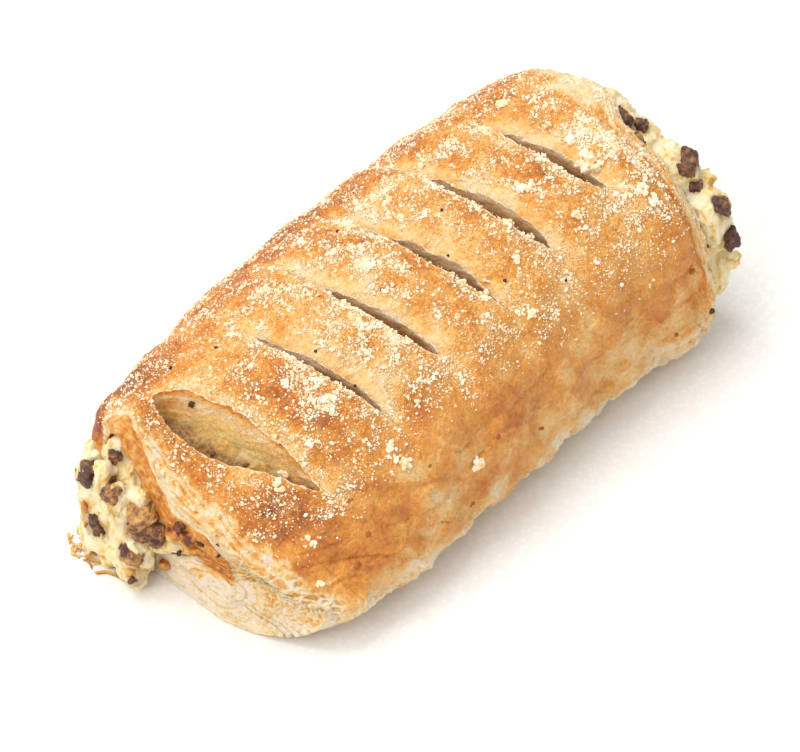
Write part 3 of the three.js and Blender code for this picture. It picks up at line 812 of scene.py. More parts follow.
def build_end(material):
    """The gaping end: its outside, cut edge and the first of the hollow."""
    rows = np.linspace(NEAR_X, BODY_NEAR + 0.5, OUTER_RINGS)
    angles = column_angles(rows, END_COLUMNS)
    q, p, normals = outer_rings(rows, angles)
    step = np.linalg.norm(np.diff(p[0], axis=0, append=p[0, :1]), axis=-1)
    around = np.concatenate([[0], np.cumsum(step)[:-1]])[None]
    outer, numbers = end_outside(q, p, normals, around)

    inside_rows = np.linspace(NEAR_X, BODY_NEAR + 1, INNER_RINGS)
    inner_q = hollow(inside_rows[:, None], np.repeat(angles[:1], INNER_RINGS, 0))
    inner = placed(inner_q)
    points, fq, from_rim, to_mouth = face_points(outer[0], q[0], inner[0], inner_q[0], FACE_RINGS)
    stand, toast, yolk, strip = cut_edge(fq, from_rim, around)
    stand = stand * (smooth(0, 0.6, from_rim) * smooth(0, 0.8, to_mouth))
    base = p[:1] + np.linspace(0, 1, 8)[:, None, None] * (inner[:1] - p[:1])
    facing = grid_facing(base).mean(0)
    facing = unit(facing * (-1 if facing[:, 0].mean() > 0 else 1))
    points = points + facing[None] * stand[..., None]
    points[..., 2] = np.maximum(points[..., 2], 0)
    inner_toast = 0.15 + 0.26 * smooth(14, 19, inner_q[..., 1]) * smooth(14, 20, inner_q[..., 2])
    inner_toast += 0.1 * noise(inner_q, 3, 11)
    parts = [
        (outer[::-1], {key: value[::-1] for key, value in numbers.items()}),
        (points, finish_numbers(toast, 0.1 + 0.6 * strip, 1 - 0.85 * strip, 0.0, yolk)),
        (inner, finish_numbers(inner_toast, 0.2, 0.6)),
    ]
    grid, numbers = stacked(parts)
    faces = skin(len(grid), END_COLUMNS)[:, ::-1]
    end = mesh_piece("crust_end", grid.reshape(-1, 3), faces, material, numbers)
    return end, (q, outer, normals)


# Blades that cut the slashes, finer for the first: steps round half a blade, its foot, the steps up
# it, how much narrower its far side is low down, how much wider it is, and how deep it stays wide
FIRST_BLADE = (96, 24.0, 0.36, 0.55, 1.0, 0)
OTHER_BLADE = (40, 27.0, 0.6, 0.75, 1.25, 5)
BLADE_TOP, LAST_RING, TAPER = 60, 47.5, 12


def blade(slash, number):
    """A lens-shaped blade with ragged walls."""
    half_steps, foot_z, step, narrow, wider, wide_to = OTHER_BLADE if number else FIRST_BLADE
    turn = np.pi * np.arange(2 * half_steps) / half_steps
    run, sine = np.cos(turn), np.sin(turn)
    y = slash["y"] + slash["half"] * run
    middle = slash["x"] + slash["skew"] * run + lean(slash["x"], y)
    rings = []
    for z in (foot_z, *np.arange(foot_z + 5, LAST_RING, step), BLADE_TOP):
        depth = clamp((top_height(slash["x"], y) - z - wide_to) / TAPER)
        gape = np.where(sine > 0, slash["far"] * (1 - narrow * depth), slash["near"] * (1 - 0.1 * depth))
        x = middle + sine * (wider * gape) * (1 + slash["flare"] * run)
        ring = np.stack([x, y, np.full_like(y, z)], -1)
        ragged = 0.4 * rough(ring, 3.0, 51 + number)
        ragged += 0.2 * ridge((z - y * 0.05 + 2.0 * noise(ring, 6, 57)) / 1.9)
        ragged += 0.2 * rough(ring * [1, 0.35, 1], 1.2, 58) - 0.15
        ring[:, 0] += np.sign(sine) * ragged * smooth(0, 0.35, np.abs(sine))
        rings.append(ring)
    return tube(np.array(rings), [(slash["x"], slash["y"], z) for z in (foot_z, BLADE_TOP)])


def cut_slashes(crust, material):
    """Cut the slashes into the crust, with 1 under wall on each corner of their walls."""
    points, faces = gathered([blade(slash, number) for number, slash in enumerate(SLASHES)])
    numbers = finish_numbers(np.full(len(points), 0.2), 0.0, 1.0)
    numbers["wall"] = np.ones(len(points))
    blades = mesh_piece("blades", points, faces, material, numbers)
    cut = crust.modifiers.new("slashes", "BOOLEAN")
    cut.operation, cut.solver, cut.object = "DIFFERENCE", "MANIFOLD", blades
    mesh = changed_mesh(crust)
    crust.modifiers.clear()
    crust.data = mesh
    bpy.data.objects.remove(blades)


def finish_walls(mesh):
    """The looks of the slashes' walls, with painted shade deep in the crevices of all but the first."""
    p = corners(mesh)
    y = p[:, 1]
    row = row_of(p[:, 0], y)
    on_wall = attribute(mesh, "wall") > 0.5
    depth = top_height(row, y) - sum(slash_sink(slash, row, y) for slash in SLASHES) - p[:, 2]
    first, second = on_wall & (row < -45), on_wall & (np.abs(row + 33) < 5)
    streak = 0.08 * noise(p * [1, 0.25, 1], 1.5, 71) + 0.06 * noise(p, 4, 72)
    cream = bell(depth - 3.0 + 1.2 * noise(p, 5, 73), 1.3) * smooth(-14, -8, y) * (1 - smooth(4, 10, y))
    first_toast = 0.7 - 0.28 * smooth(0.3, 1.6, depth) - 0.16 * cream + streak
    # painted shade: below 2.2 mm the walls of the other slashes are browned more the deeper they go
    toast = 0.3 - 0.16 * smooth(0.1, 1.0, depth) + 0.16 * smooth(2.2, 5, depth) + streak
    white = second * smooth(-6, 2, y) * (1 - smooth(12, 17, y))
    first_yolk = 1.1 * smooth(3.8, 5.4, depth + 1.6 * noise(p, 5, 74))
    changed = {
        "toast": np.where(first, first_toast, toast) * (1 - 0.8 * white),
        "raw": 0.8,
        "gloss": 0.15,
        # painted shade: the walls of the other slashes turn olive-brown deeper in the crevice, less on the
        # second's pale patch
        "crevice_shade": np.where(first, 0, 0.85 * smooth(0.9, 3.6, depth) * (1 - 0.75 * white)),
        "yolk": np.where(first, first_yolk, 0.5 * smooth(0.5, 2, depth)) * (1 - white),
        "dust": 0,
    }
    for key, value in changed.items():
        give(mesh, key, np.where(on_wall, value, attribute(mesh, key)))


def roughen_lips(mesh):
    """Fray the lips of the slashes a little."""
    p = corners(mesh)
    y = p[:, 1]
    row = row_of(p[:, 0], y)
    run = [np.abs((y - slash["y"]) / slash["half"]) for slash in SLASHES]
    lips = np.min([slash_past(s, row, y)[0] + 9 * (r > 1.1) for s, r in zip(SLASHES, run)], axis=0)
    jitter = 0.16 * three_noises(p, 1.4, 75)
    p = p + jitter * ((1 - smooth(0.5, 2.5, lips)) * smooth(1, 4, p[:, 2]))[:, None]
    mesh.vertices.foreach_set("co", (p * MM).ravel())
    finish_shading(mesh, sharp=50)


def build_crust(material):
    """The crust with its slashes, all but the gaping end."""
    points, faces, numbers, grid = build_body()
    numbers["wall"] = np.zeros(len(points))
    crust = mesh_piece("crust_sheet", points, outward(points, faces), material, numbers)
    cut_slashes(crust, material)
    finish_walls(crust.data)
    roughen_lips(crust.data)
    return crust, grid


# ---- Materials ----


def srgb(r, g, b):
    """A colour given as it looks on a screen, made linear."""
    values = [v / 255 for v in (r, g, b)]
    return tuple(v / 12.92 if v <= 0.04045 else ((v + 0.055) / 1.055) ** 2.4 for v in values) + (1.0,)


class Shader:
    """A node material under construction."""

    def __init__(self, name):
        self.material = bpy.data.materials.new(name)
        self.material.use_nodes = True
        self.nodes, self.links = self.material.node_tree.nodes, self.material.node_tree.links
        self.nodes.clear()
        output = self.nodes.new("ShaderNodeOutputMaterial")
        self.bsdf = self.nodes.new("ShaderNodeBsdfPrincipled")
        self.links.new(self.bsdf.outputs[0], output.inputs["Surface"])
        self.place = self.nodes.new("ShaderNodeTexCoord").outputs["Object"]

    def put(self, socket, value):
        """Link a socket to another one, or set it to a constant."""
        if isinstance(value, bpy.types.NodeSocket):
            self.links.new(value, socket)
        else:
            socket.default_value = value

    def node(self, kind, output, inputs, **settings):
        """One output of a new node of this kind."""
        node = self.nodes.new("ShaderNode" + kind)
        for key, value in settings.items():
            setattr(node, key, value)
        for key, value in inputs.items():
            self.put(node.inputs[key], value)
        return node.outputs[output]

    def number(self, key):
        return self.node("Attribute", "Fac", {}, attribute_name=key)

    def noise(self, size, detail=3, roughness=0.55):
        inputs = {"Vector": self.place, "Scale": 1 / (size * MM), "Detail": detail, "Roughness": roughness}
        return self.node("TexNoise", "Fac", inputs)

    def cells(self, size):
        return self.node("TexVoronoi", "Distance", {"Vector": self.place, "Scale": 1 / (size * MM)})

    def math(self, operation, a, b, clamp_it=False):
        return self.node("Math", 0, {0: a, 1: b}, operation=operation, use_clamp=clamp_it)

    def add(self, a, b, clamp_it=False):
        return self.math("ADD", a, b, clamp_it)

    def times(self, a, b):
        return self.math("MULTIPLY", a, b)

    def scale(self, value, low, high, to_low=0.0, to_high=1.0):
        limits = {"From Min": low, "From Max": high, "To Min": to_low, "To Max": to_high}
        return self.node("MapRange", 0, {"Value": value, **limits})

    def mix(self, amount, a, b):
        return self.node("Mix", 2, {0: amount, 6: a, 7: b}, data_type="RGBA")

    def bump(self, height, distance, strength):
        return self.node("Bump", 0, {"Distance": distance * MM, "Strength": strength, "Height": height})

    def ramp(self, value, stops):
        node = self.nodes.new("ShaderNodeValToRGB")
        elements = node.color_ramp.elements
        while len(elements) < len(stops):
            elements.new(0.5)
        for element, (at, colour) in zip(elements, stops):
            element.position, element.color = at, srgb(*colour)
        self.put(node.inputs[0], value)
        return node.outputs[0]

    def set(self, **values):
        """The finished material, with these inputs of its surface."""
        for key, value in values.items():
            self.put(self.bsdf.inputs[key.replace("_", " ")], value)
        return self.material


def crust_material():
    s = Shader("baked pastry")
    grain = s.scale(s.noise(0.9, 5, 0.7), 0.3, 0.7, -0.2, 0.2)
    cloud = s.scale(s.noise(4.0, 5, 0.66), 0.3, 0.7, -0.14, 0.14)
    raw, gloss = s.number("raw"), s.number("gloss")
    mottle = s.times(s.add(grain, cloud), s.scale(gloss, 0, 1, 1.0, 0.55))
    # toast is browning, plus painted shade in the hollows of the gaping end's cut edge and deep in the
    # slashes' walls
    toast = s.math("SUBTRACT", s.add(s.number("toast"), mottle), s.times(raw, 0.05), True)
    browns = [(0.0, (251, 231, 204)), (0.2, (248, 214, 162)), (0.4, (244, 188, 108))]
    browns += [(0.56, (234, 156, 60)), (0.74, (208, 122, 38)), (1.0, (142, 74, 28))]
    colour = s.ramp(toast, browns)
    # yolk is the colour of egg, plus a painted warm shade in the hollows of the gaping end's cut edge
    colour = s.mix(s.times(s.number("yolk"), 0.7), colour, srgb(255, 212, 132))
    # painted shade deep in the slashes' crevices, mixed in as an olive-brown colour
    colour = s.mix(s.number("crevice_shade"), colour, srgb(166, 106, 32))
    powder = s.scale(s.add(s.noise(0.45, 3, 0.7), s.times(s.number("dust"), 0.16)), 0.6, 0.72, 0.0, 0.8)
    colour = s.mix(powder, colour, srgb(252, 228, 192))
    height = s.add(s.noise(0.9, 5, 0.68), s.times(s.noise(3.0, 3, 0.6), 1.4))
    return s.set(
        Base_Color=colour,
        Roughness=s.scale(gloss, 0, 1, 0.52, 0.34),
        Coat_Weight=s.scale(gloss, 0, 1, 0.0, 0.2),
        Coat_Roughness=0.28,
        Subsurface_Weight=s.scale(raw, 0, 1, 0.1, 0.45),
        Subsurface_Radius=(1.0, 0.6, 0.3),
        Subsurface_Scale=0.0014,
        Specular_IOR_Level=0.45,
        Normal=s.bump(s.add(height, s.times(powder, 0.35)), 0.7, 1.0),
    )


def crumb_material():
    s = Shader("pale crumbs")
    creams = [(0.3, (255, 245, 224)), (0.5, (255, 234, 200)), (0.7, (246, 208, 150))]
    colour = s.ramp(s.noise(2.2, 2, 0.6), creams)
    return s.set(Base_Color=colour, Roughness=0.7, Normal=s.bump(s.noise(0.35, 2), 0.1, 0.6))


def filling_material():
    s = Shader("potato and egg")
    tone = s.add(s.number("tone"), s.scale(s.noise(3.2, 3, 0.6), 0.3, 0.7, -0.2, 0.2), True)
    yellows = [(0.0, (252, 240, 208)), (0.35, (249, 228, 174)), (0.58, (240, 202, 114))]
    yellows += [(0.76, (222, 162, 74)), (0.88, (196, 116, 52)), (1.0, (104, 54, 28))]
    colour = s.ramp(tone, yellows)
    # grey mixes in this stain colour: real browning round the mince, and painted shade in creases and under
    # the gaping slash's near lip
    stain = s.ramp(s.noise(0.8, 3, 0.7), [(0.35, (128, 94, 52)), (0.6, (188, 148, 86))])
    return s.set(
        Base_Color=s.mix(s.number("grey"), colour, stain),
        Roughness=0.36,
        Subsurface_Weight=0.3,
        Subsurface_Radius=(1.0, 0.75, 0.4),
        Subsurface_Scale=0.0016,
        Normal=s.bump(s.add(s.noise(0.9, 4, 0.66), s.times(s.noise(3.0, 3), 1.4)), 0.6, 0.9),
    )


def meat_material():
    s = Shader("browned mince")
    tone = s.add(s.number("tone"), s.scale(s.noise(1.1, 4, 0.65), 0.3, 0.7, -0.35, 0.35), True)
    browns = [(0.0, (72, 42, 30)), (0.3, (120, 76, 46)), (0.6, (182, 128, 68)), (1.0, (220, 174, 106))]
    return s.set(
        Base_Color=s.ramp(tone, browns),
        Roughness=0.45,
        Subsurface_Weight=0.1,
        Subsurface_Radius=(1.0, 0.5, 0.3),
        Subsurface_Scale=0.001,
        Normal=s.bump(s.noise(0.7, 4, 0.65), 0.3, 0.9),
    )


def plain_material(name, colour, roughness):
    return Shader(name).set(Base_Color=colour, Roughness=roughness)


def floor_material():
    s = Shader("white surface")
    weave = s.scale(s.cells(1.3), 0.2, 0.6)
    colour = s.mix(weave, srgb(246, 245, 243), srgb(240, 239, 236))
    return s.set(Base_Color=colour, Roughness=0.75, Specular_IOR_Level=0.2)


# ---- Scattered bits ----


def ball(level):
    """Corners and faces of a ball of triangles, radius 1."""
    golden = (1 + 5**0.5) / 2
    p = [(-1, golden, 0), (1, golden, 0), (-1, -golden, 0), (1, -golden, 0)]
    p += [(0, -1, golden), (0, 1, golden), (0, -1, -golden), (0, 1, -golden)]
    p += [(golden, 0, -1), (golden, 0, 1), (-golden, 0, -1), (-golden, 0, 1)]
    f = [(0, 11, 5), (0, 5, 1), (0, 1, 7), (0, 7, 10), (0, 10, 11), (1, 5, 9), (5, 11, 4)]
    f += [(11, 10, 2), (10, 7, 6), (7, 1, 8), (3, 9, 4), (3, 4, 2), (3, 2, 6), (3, 6, 8)]
    f += [(3, 8, 9), (4, 9, 5), (2, 4, 11), (6, 2, 10), (8, 6, 7), (9, 8, 1)]
    p = [np.array(v, float) / np.linalg.norm(v) for v in p]
    for _ in range(level):
        middles, finer = {}, []

        def middle(a, b):
            key = (min(a, b), max(a, b))
            if key not in middles:
                m = p[a] + p[b]
                p.append(m / np.linalg.norm(m))
                middles[key] = len(p) - 1
            return middles[key]

        for a, b, c in f:
            ab, bc, ca = middle(a, b), middle(b, c), middle(c, a)
            finer += [(a, ab, ca), (b, bc, ab), (c, ca, bc), (ab, bc, ca)]
        f = finer
    return np.array(p), np.array(f)


OCTAHEDRON = (
    np.array([(1, 0, 0), (-1, 0, 0), (0, 1, 0), (0, -1, 0), (0, 0, 1), (0, 0, -1)], float),
    np.array([(0, 2, 4), (2, 1, 4), (1, 3, 4), (3, 0, 4), (2, 0, 5), (1, 2, 5), (3, 1, 5), (0, 3, 5)]),
)


def turns(rng, count):
    """Random rotations as matrices."""
    q = rng.normal(size=(count, 4))
    q /= np.linalg.norm(q, axis=1, keepdims=True)
    w, x, y, z = q.T
    return np.stack(
        [
            np.stack([1 - 2 * (y * y + z * z), 2 * (x * y - z * w), 2 * (x * z + y * w)], -1),
            np.stack([2 * (x * y + z * w), 1 - 2 * (x * x + z * z), 2 * (y * z - x * w)], -1),
            np.stack([2 * (x * z - y * w), 2 * (y * z + x * w), 1 - 2 * (x * x + y * y)], -1),
        ],
        1,
    )


STRETCH = 0.35  # how much longer or shorter a bit may be along each axis
AWAY = 40  # how far off, in mm, marks start on their way to a surface
LIP_MARGIN = 0.15  # bits lie at least this far from a slash
FLATTENED, LUMP_SPREAD = 0.8, 0.42  # how flat a heap is, and how much its lumps differ


def scatter(name, shape, places, radii, rng, material, uneven, flat=False):
    """One piece of many small irregular bits at these places."""
    corner, faces = shape
    count = len(places)
    stretch = 1 + rng.uniform(-STRETCH, STRETCH, (count, 1, 3))
    jitter = 1 + rng.uniform(-uneven, uneven, (count, len(corner), 1))
    local = corner[None] * stretch * jitter * radii[:, None, None]
    points = np.einsum("nij,nkj->nki", turns(rng, count), local) + places[:, None]
    steps = (np.arange(count) * len(corner))[:, None, None]
    return mesh_piece(name, points.reshape(-1, 3), (faces[None] + steps).reshape(-1, 3), material, flat=flat)


def on_crust(grids, count, rng, weight, lift):
    """Random places on the outside, more of them where weight is greater."""
    corner, facing, chance = [], [], []
    for q, p, n in grids:
        a, b, c = p[:-1, :-1], p[:-1, 1:] - p[:-1, :-1], p[1:, :-1] - p[:-1, :-1]
        middle = 0.5 * (q[:-1, :-1] + q[1:, 1:])
        share = np.linalg.norm(b, axis=-1) * np.linalg.norm(c, axis=-1) * weight(middle)
        for slash in SLASHES:
            past, run, _ = slash_past(slash, middle[..., 0], middle[..., 1])
            share = share * ~((past < LIP_MARGIN) & (np.abs(run) < 1))
        corner.append(np.stack([a, b, c], -2).reshape(-1, 3, 3))
        facing.append(n[:-1, :-1].reshape(-1, 3))
        chance.append(share.ravel())
    corner, facing, chance = (np.concatenate(part) for part in (corner, facing, chance))
    chosen = rng.choice(len(chance), count, p=chance / chance.sum())
    u, v = rng.random((2, count, 1))
    at = corner[chosen, 0] + u * corner[chosen, 1] + v * corner[chosen, 2]
    return at + lift[:, None] * facing[chosen], facing[chosen]


VIEW = np.array([-0.5087, -0.4912, 0.7071])  # towards the camera; marks are laid on from there too

# Marks on the crust: X, Y, Z of a point over or under each, and its radius
BLACK_SPECKS = [
    (-55.4, 4.8, 42, 0.7), (-51.8, 14.5, 42.6, 0.45), (-42.5, 10.5, 44.8, 0.4), (-29.6, -5, 45.4, 0.35),
    (-28.7, -15.2, 41.9, 0.35), (-8.7, -3.5, 47.2, 0.3), (-1.8, 15.8, 46, 0.35), (7.8, -6.5, 47.5, 0.3),
    (16, 3, 48.4, 0.35), (13.2, -17.5, 44, 0.4), (25.1, -23.5, 39.6, 0.35), (59.5, -34.4, 14, 0.7),
    (63, -30.8, 28.7, 0.45),
]
BLISTERS = [
    (-47.1, -34, 16.8, 0.6), (-42.8, -32.5, 21.4, 0.5), (-6, -34.2, 23.6, 0.6), (-16.6, -37, 13.9, 0.5),
    (6.6, -34.5, 17.4, 0.5), (-24.7, -32.5, 28, 0.55), (55.6, -32, 26.9, 0.9), (49.7, -33.8, 13.3, 0.5),
    (-42.5, -27.2, 27.4, 0.5), (-52.1, -22.5, 25.2, 0.5),
]
COARSE_CRUMBS = [
    (-13, -35.2, 21.7, 1.4), (-29.9, -29.8, 30.7, 1.4), (-30.5, -27, 33.4, 1.0), (47.6, -9.2, 49.1, 2.2),
    (49.3, -17.8, 45.6, 1.3), (31.9, -4.2, 48.8, 1.2), (36.7, -16, 45.5, 1.1), (19.1, -26.5, 36.5, 1.0),
    (13.7, -24.5, 38.9, 1.1), (18.6, -15.8, 45, 1.1), (48.6, 16.8, 48.1, 1.2), (49.1, -2.5, 50.3, 1.1),
    (-55.3, -31.2, 15.5, 1.0), (-50.2, -15.5, 31.9, 1.1), (-39.4, -6, 43.5, 1.2), (-34.4, -13.8, 41.5, 1.2),
    (6.8, -17.8, 43.7, 1.1), (52.2, -19.8, 44.5, 1.4), (-18.3, -4.5, 46.5, 1.2), (54, -22, 42, 1.2),
]


def tree_of(meshes):
    """A search tree over meshes given as corners and faces."""
    points, faces = gathered(meshes)
    return BVHTree.FromPolygons(points.tolist(), faces.tolist())


def tree_of_pieces(*pieces):
    return tree_of([(corners(piece.data), triangles(piece.data)) for piece in pieces])


def laid_on(tree, at):
    """Where something laid on from VIEW towards a point meets a surface, and the way that faces."""
    hit, normal, _, _ = tree.ray_cast(Vector(np.asarray(at) + AWAY * VIEW), Vector(-VIEW))
    if hit is None:
        hit, normal, _, _ = tree.find_nearest(Vector(at))
    return np.array(hit), np.array(normal)


def cluster(middle, normal, radius, lumps, rng, loose, least=0.2):
    """Places and radii of lumps stuck together in a heap that lies on a surface."""
    offset = rng.normal(size=(lumps, 3)) * radius * loose
    offset -= FLATTENED * (offset @ normal)[:, None] * normal
    return middle + offset, radius * (least + LUMP_SPREAD * rng.random(lumps))


def scatter_clusters(name, clusters, rng, material, uneven, flat=False):
    """One piece of all the lumps of these clusters."""
    at, radii = (np.concatenate(part) for part in zip(*clusters))
    return scatter(name, ball(1), at, radii, rng, material, uneven, flat)


def marked(tree, marks, lift, lumps, rng, loose, least=0.2, share=1.0):
    """A cluster for each mark, laid on a surface and lifted by a part of its radius."""
    clusters = []
    for *place, radius in marks:
        hit, normal = laid_on(tree, place)
        middle = hit + lift * radius * normal
        clusters.append(cluster(middle, normal, share * radius, lumps, rng, loose, least))
    return clusters


FINE_GRANULES, GRANULES, CLUMPS = 19000, 5200, 190
# Least radius of each kind, how much more it may be, and how much rarer large ones are
FINE_RADII, GRANULE_RADII, CLUMP_RADII = (0.11, 0.14, 2), (0.19, 0.25, 2.4), (0.35, 0.65, 2.2)


def random_radii(rng, count, least, more, rarer):
    return least + more * rng.random(count) ** rarer


def build_crumbs(grids, tree, material, dark):
    """Granules, crumbs, dark specks and blisters on the crust."""
    rng = np.random.default_rng(11)
    radii = random_radii(rng, FINE_GRANULES, *FINE_RADII)
    at, _ = on_crust(grids, FINE_GRANULES, rng, dusting, 0.3 * radii)
    pieces = [scatter("granules_fine", OCTAHEDRON, at, radii, rng, material, 0.3, True)]
    radii = random_radii(rng, GRANULES, *GRANULE_RADII)
    at, _ = on_crust(grids, GRANULES, rng, lambda q: dusting(q) ** 1.4, 0.25 * radii)
    pieces.append(scatter("granules", ball(0), at, radii, rng, material, 0.35, True))
    size = random_radii(rng, CLUMPS, *CLUMP_RADII)
    middle, facing = on_crust(grids, CLUMPS, rng, dusting, 0.1 * size)
    clumps = [cluster(m, n, r, rng.integers(5, 10), rng, 0.7) for m, n, r in zip(middle, facing, size)]
    clumps += marked(tree, COARSE_CRUMBS, 0.1, 20, rng, 0.6, share=0.8)
    pieces.append(scatter_clusters("crumb_clumps", clumps, rng, material, 0.25, True))
    specks = marked(tree, BLACK_SPECKS, 0.3, 4, rng, 0.3, 0.5)
    pieces.append(scatter_clusters("dark_specks", specks, rng, dark, 0.15))
    browned = plain_material("browned blisters", srgb(166, 88, 34), 0.45)
    blisters = marked(tree, BLISTERS, -0.15, 4, rng, 0.3, 0.5)
    pieces.append(scatter_clusters("blisters", blisters, rng, browned, 0.15))
    return pieces


# ---- Filling ----

# Curds and chunks at the ends: middle, radii and turn about Z
CURDS = [
    ((-69.6, 16.5, 17), (4.0, 5.2, 7.6), 0.3), ((-70.0, 9, 9), (3.4, 5.2, 6.6), -0.2),
    ((-69.6, 16.5, 7), (3.4, 4.4, 5.2), 0.5), ((-69.4, 11, 3.6), (3.4, 6.2, 3.3), 0.1),
    ((-68.4, 9, 19), (2.6, 4.2, 6.0), 0.1), ((68, -4, 37.5), (4.5, 6, 5), 0.2),
    ((67.6, -15, 35), (4.8, 7, 6.5), -0.3), ((67.6, -24, 28), (4.8, 6, 8), 0.1),
    ((70.4, 9, 34), (3.8, 8, 8), 0.4), ((69.8, -10, 17), (4, 9, 9), -0.1),
    ((68.5, -24, 14), (4.6, 6, 7), 0.2), ((70.6, 21, 24), (3.6, 7, 9), 0.2),
    ((70.6, 10, 13), (3.6, 9, 7), -0.2),
]
# Mince: a point of it, its radii and how light it is
MINCE = [
    ((-72, 17.9, 23.7), (2.2, 2.6, 3.0), 0.12), ((-66, 15.8, 26.3), (1.5, 1.4, 1.9), 0.25),
    ((-70, 13.2, 25), (1.0, 1.1, 0.9), 0.1), ((-70, 14.6, 19.9), (1.9, 2.4, 2.1), 0.4),
    ((-70, 12.0, 22.5), (1.2, 1.2, 1.0), 0.5), ((-72, 16.9, 10.5), (1.5, 1.6, 4.0), 0.15),
    ((-68, 5.2, 18.8), (3.0, 3.6, 2.9), 0.66), ((-68, 6.6, 14.2), (2.8, 4.2, 2.6), 0.42),
    ((-68, 3.0, 14.8), (2.2, 2.2, 2.6), 0.34), ((-70, 8, 5.7), (2.2, 2.6, 2.3), 0.6),
    ((-70, 10.4, 7.0), (1.0, 1.1, 1.6), 0.2), ((-71, 6.6, 1.5), (0.8, 2.6, 0.5), 0.3),
    ((68, -0.2, 42.4), (2.0, 3.4, 1.9), 0.2), ((68, -5.3, 43.1), (1.8, 1.8, 2.6), 0.2),
    ((71, -17.3, 38.7), (2.1, 2.6, 3.4), 0.2), ((71, -15.8, 35), (1.8, 2.3, 1.6), 0.22),
    ((71, -18.5, 32), (1.6, 2.0, 1.4), 0.22), ((71, -26.5, 30.8), (2.2, 2.1, 3.2), 0.2),
    ((71, -29.5, 24), (1.8, 1.9, 2.4), 0.15), ((74, 2, 26), (1.9, 3.4, 3), 0.15),
    ((74, 14, 31), (1.9, 3.2, 2.8), 0.2), ((74, 18, 16), (1.7, 2.4, 2.8), 0.3),
    ((73, -12, 14), (1.8, 3.0, 2.2), 0.25),
]
# And in the gaping slash
SLASH_BITS = [
    ((-56.6, -6.4, 32.4), (0.9, 1.3, 0.7), 0.05), ((-55.0, -12.0, 32.4), (0.6, 0.9, 0.5), 0.3),
    ((-53.8, -8.8, 33.0), (0.7, 0.9, 0.4), 0.5), ((-56.0, -1.5, 32.6), (0.5, 0.6, 0.4), 0.3),
]
# Toasted blobs of cheese or egg: a point, radii and how dark
TOASTED = [
    ((-67, -0.6, 17.2), (1.6, 2.2, 1.7), 0.82), ((-66, -4.4, 17.8), (1.3, 2.2, 1.5), 0.97),
    ((-66, -1.8, 19.2), (1.2, 1.8, 1.0), 1.0), ((-68, 0.6, 7.6), (1.2, 1.9, 1.4), 0.84),
    ((-66, -7.2, 15.6), (1.0, 2.6, 1.0), 0.8), ((-73.5, 18.2, 15.6), (0.8, 0.7, 1.7), 0.86),
    ((-74.0, 17.8, 11.6), (0.6, 0.6, 1.2), 0.8), ((-71, 7.5, 2.6), (0.8, 1.6, 0.9), 0.8),
]
# Dark specks on the filling: a point and radius
PEPPER = [
    (-66, -7.4, 18.2, 0.8), (-67, -2.4, 12.3, 0.55), (-66, -12.7, 21.5, 0.45), (-66, -13, 18.5, 0.5),
    (-56.5, -10.5, 31, 0.6),
]
# How fine the skins round fused lumps are, and the size and height of the filling's facets
NEAR_VOXEL, FAR_VOXEL, MINCE_VOXEL, TOASTED_VOXEL = 0.34, 0.5, 0.27, 0.25
FACET_SIZE, FACET_HEIGHT = 3.4, 1.1
# The filling's ends and the run between them: rings and columns, then Y and Z of the top of each dome
NEAR_RINGS, NEAR_COLUMNS, NEAR_DOME = (NEAR_X, -57, 12), 90, (14, 15)
FAR_RINGS, FAR_COLUMNS, FAR_DOME = (59, FAR_X, 10), 110, (0, 22)
RUN_START, RUN_END, RUN_STEP, RUN_COLUMNS = -46, 62, 0.9, 150
BULGE, DOME_RINGS = 4.5, 12
NEAR_BITS, FAR_BITS = 44, 120


def lump(at, size, turn, level, roughness, seed, boxy=1.0):
    """A rough lump turned about Z, squarer the smaller boxy is."""
    corner, faces = ball(level)
    p = power(corner, boxy) * np.array(size)
    p = p * (1 + roughness * rough(p + 37.0 * seed, 0.75 * max(size), seed, 4))[:, None]
    c, s = math.cos(turn), math.sin(turn)
    p = p @ np.array([[c, s, 0], [-s, c, 0], [0, 0, 1]])
    return p + np.array(at), faces


def corner_normals(points, faces):
    """Directions in which a mesh faces at its corners."""
    a, b, c = (points[faces[:, i]] for i in range(3))
    facing, count = np.cross(b - a, c - a), len(points)
    return unit(
        np.stack([sum(np.bincount(faces[:, i], way, count) for i in range(3)) for way in facing.T], -1)
    )


def fused(lumps, voxel):
    """One skin round closed lumps that overlap."""
    piece = mesh_piece("lumps", *gathered(lumps))
    change = piece.modifiers.new("fuse", "REMESH")
    change.mode, change.voxel_size = "VOXEL", voxel * MM
    mesh = changed_mesh(piece)
    points, faces = corners(mesh), triangles(mesh)
    bpy.data.objects.remove(piece)
    bpy.data.meshes.remove(mesh)
    return points, outward(points, faces)


def craggy(points, faces, size, height, seed):
    """Push a skin out into smooth facets between sharp creases, and say how creased each corner is."""
    tall = points * [1, 1, 0.6]
    tall = tall + 0.35 * size * three_noises(tall, 0.8 * size, seed + 3)
    near, after, number = cells(tall, size, seed)
    finer = cells(tall, 0.45 * size, seed + 1)[2]
    soft = smooth(0.0, 0.16, after - near)
    out = (number - 0.5) * soft + 0.45 * (finer - 0.5) + 0.2 * rough(points, 0.35 * size, seed + 2)
    crease = 0.8 * (1 - soft) + 0.35 * smooth(0.45, 0.1, finer)
    return points + corner_normals(points, faces) * (height * out)[:, None], crease


def filling_rings(rows, columns):
    """Rings of the filling, just inside the hollow."""
    angle = np.linspace(0, 2 * np.pi, columns, endpoint=False)[None] + 0 * rows[:, None]
    return placed(hollow(rows[:, None], angle, CLEARANCE))


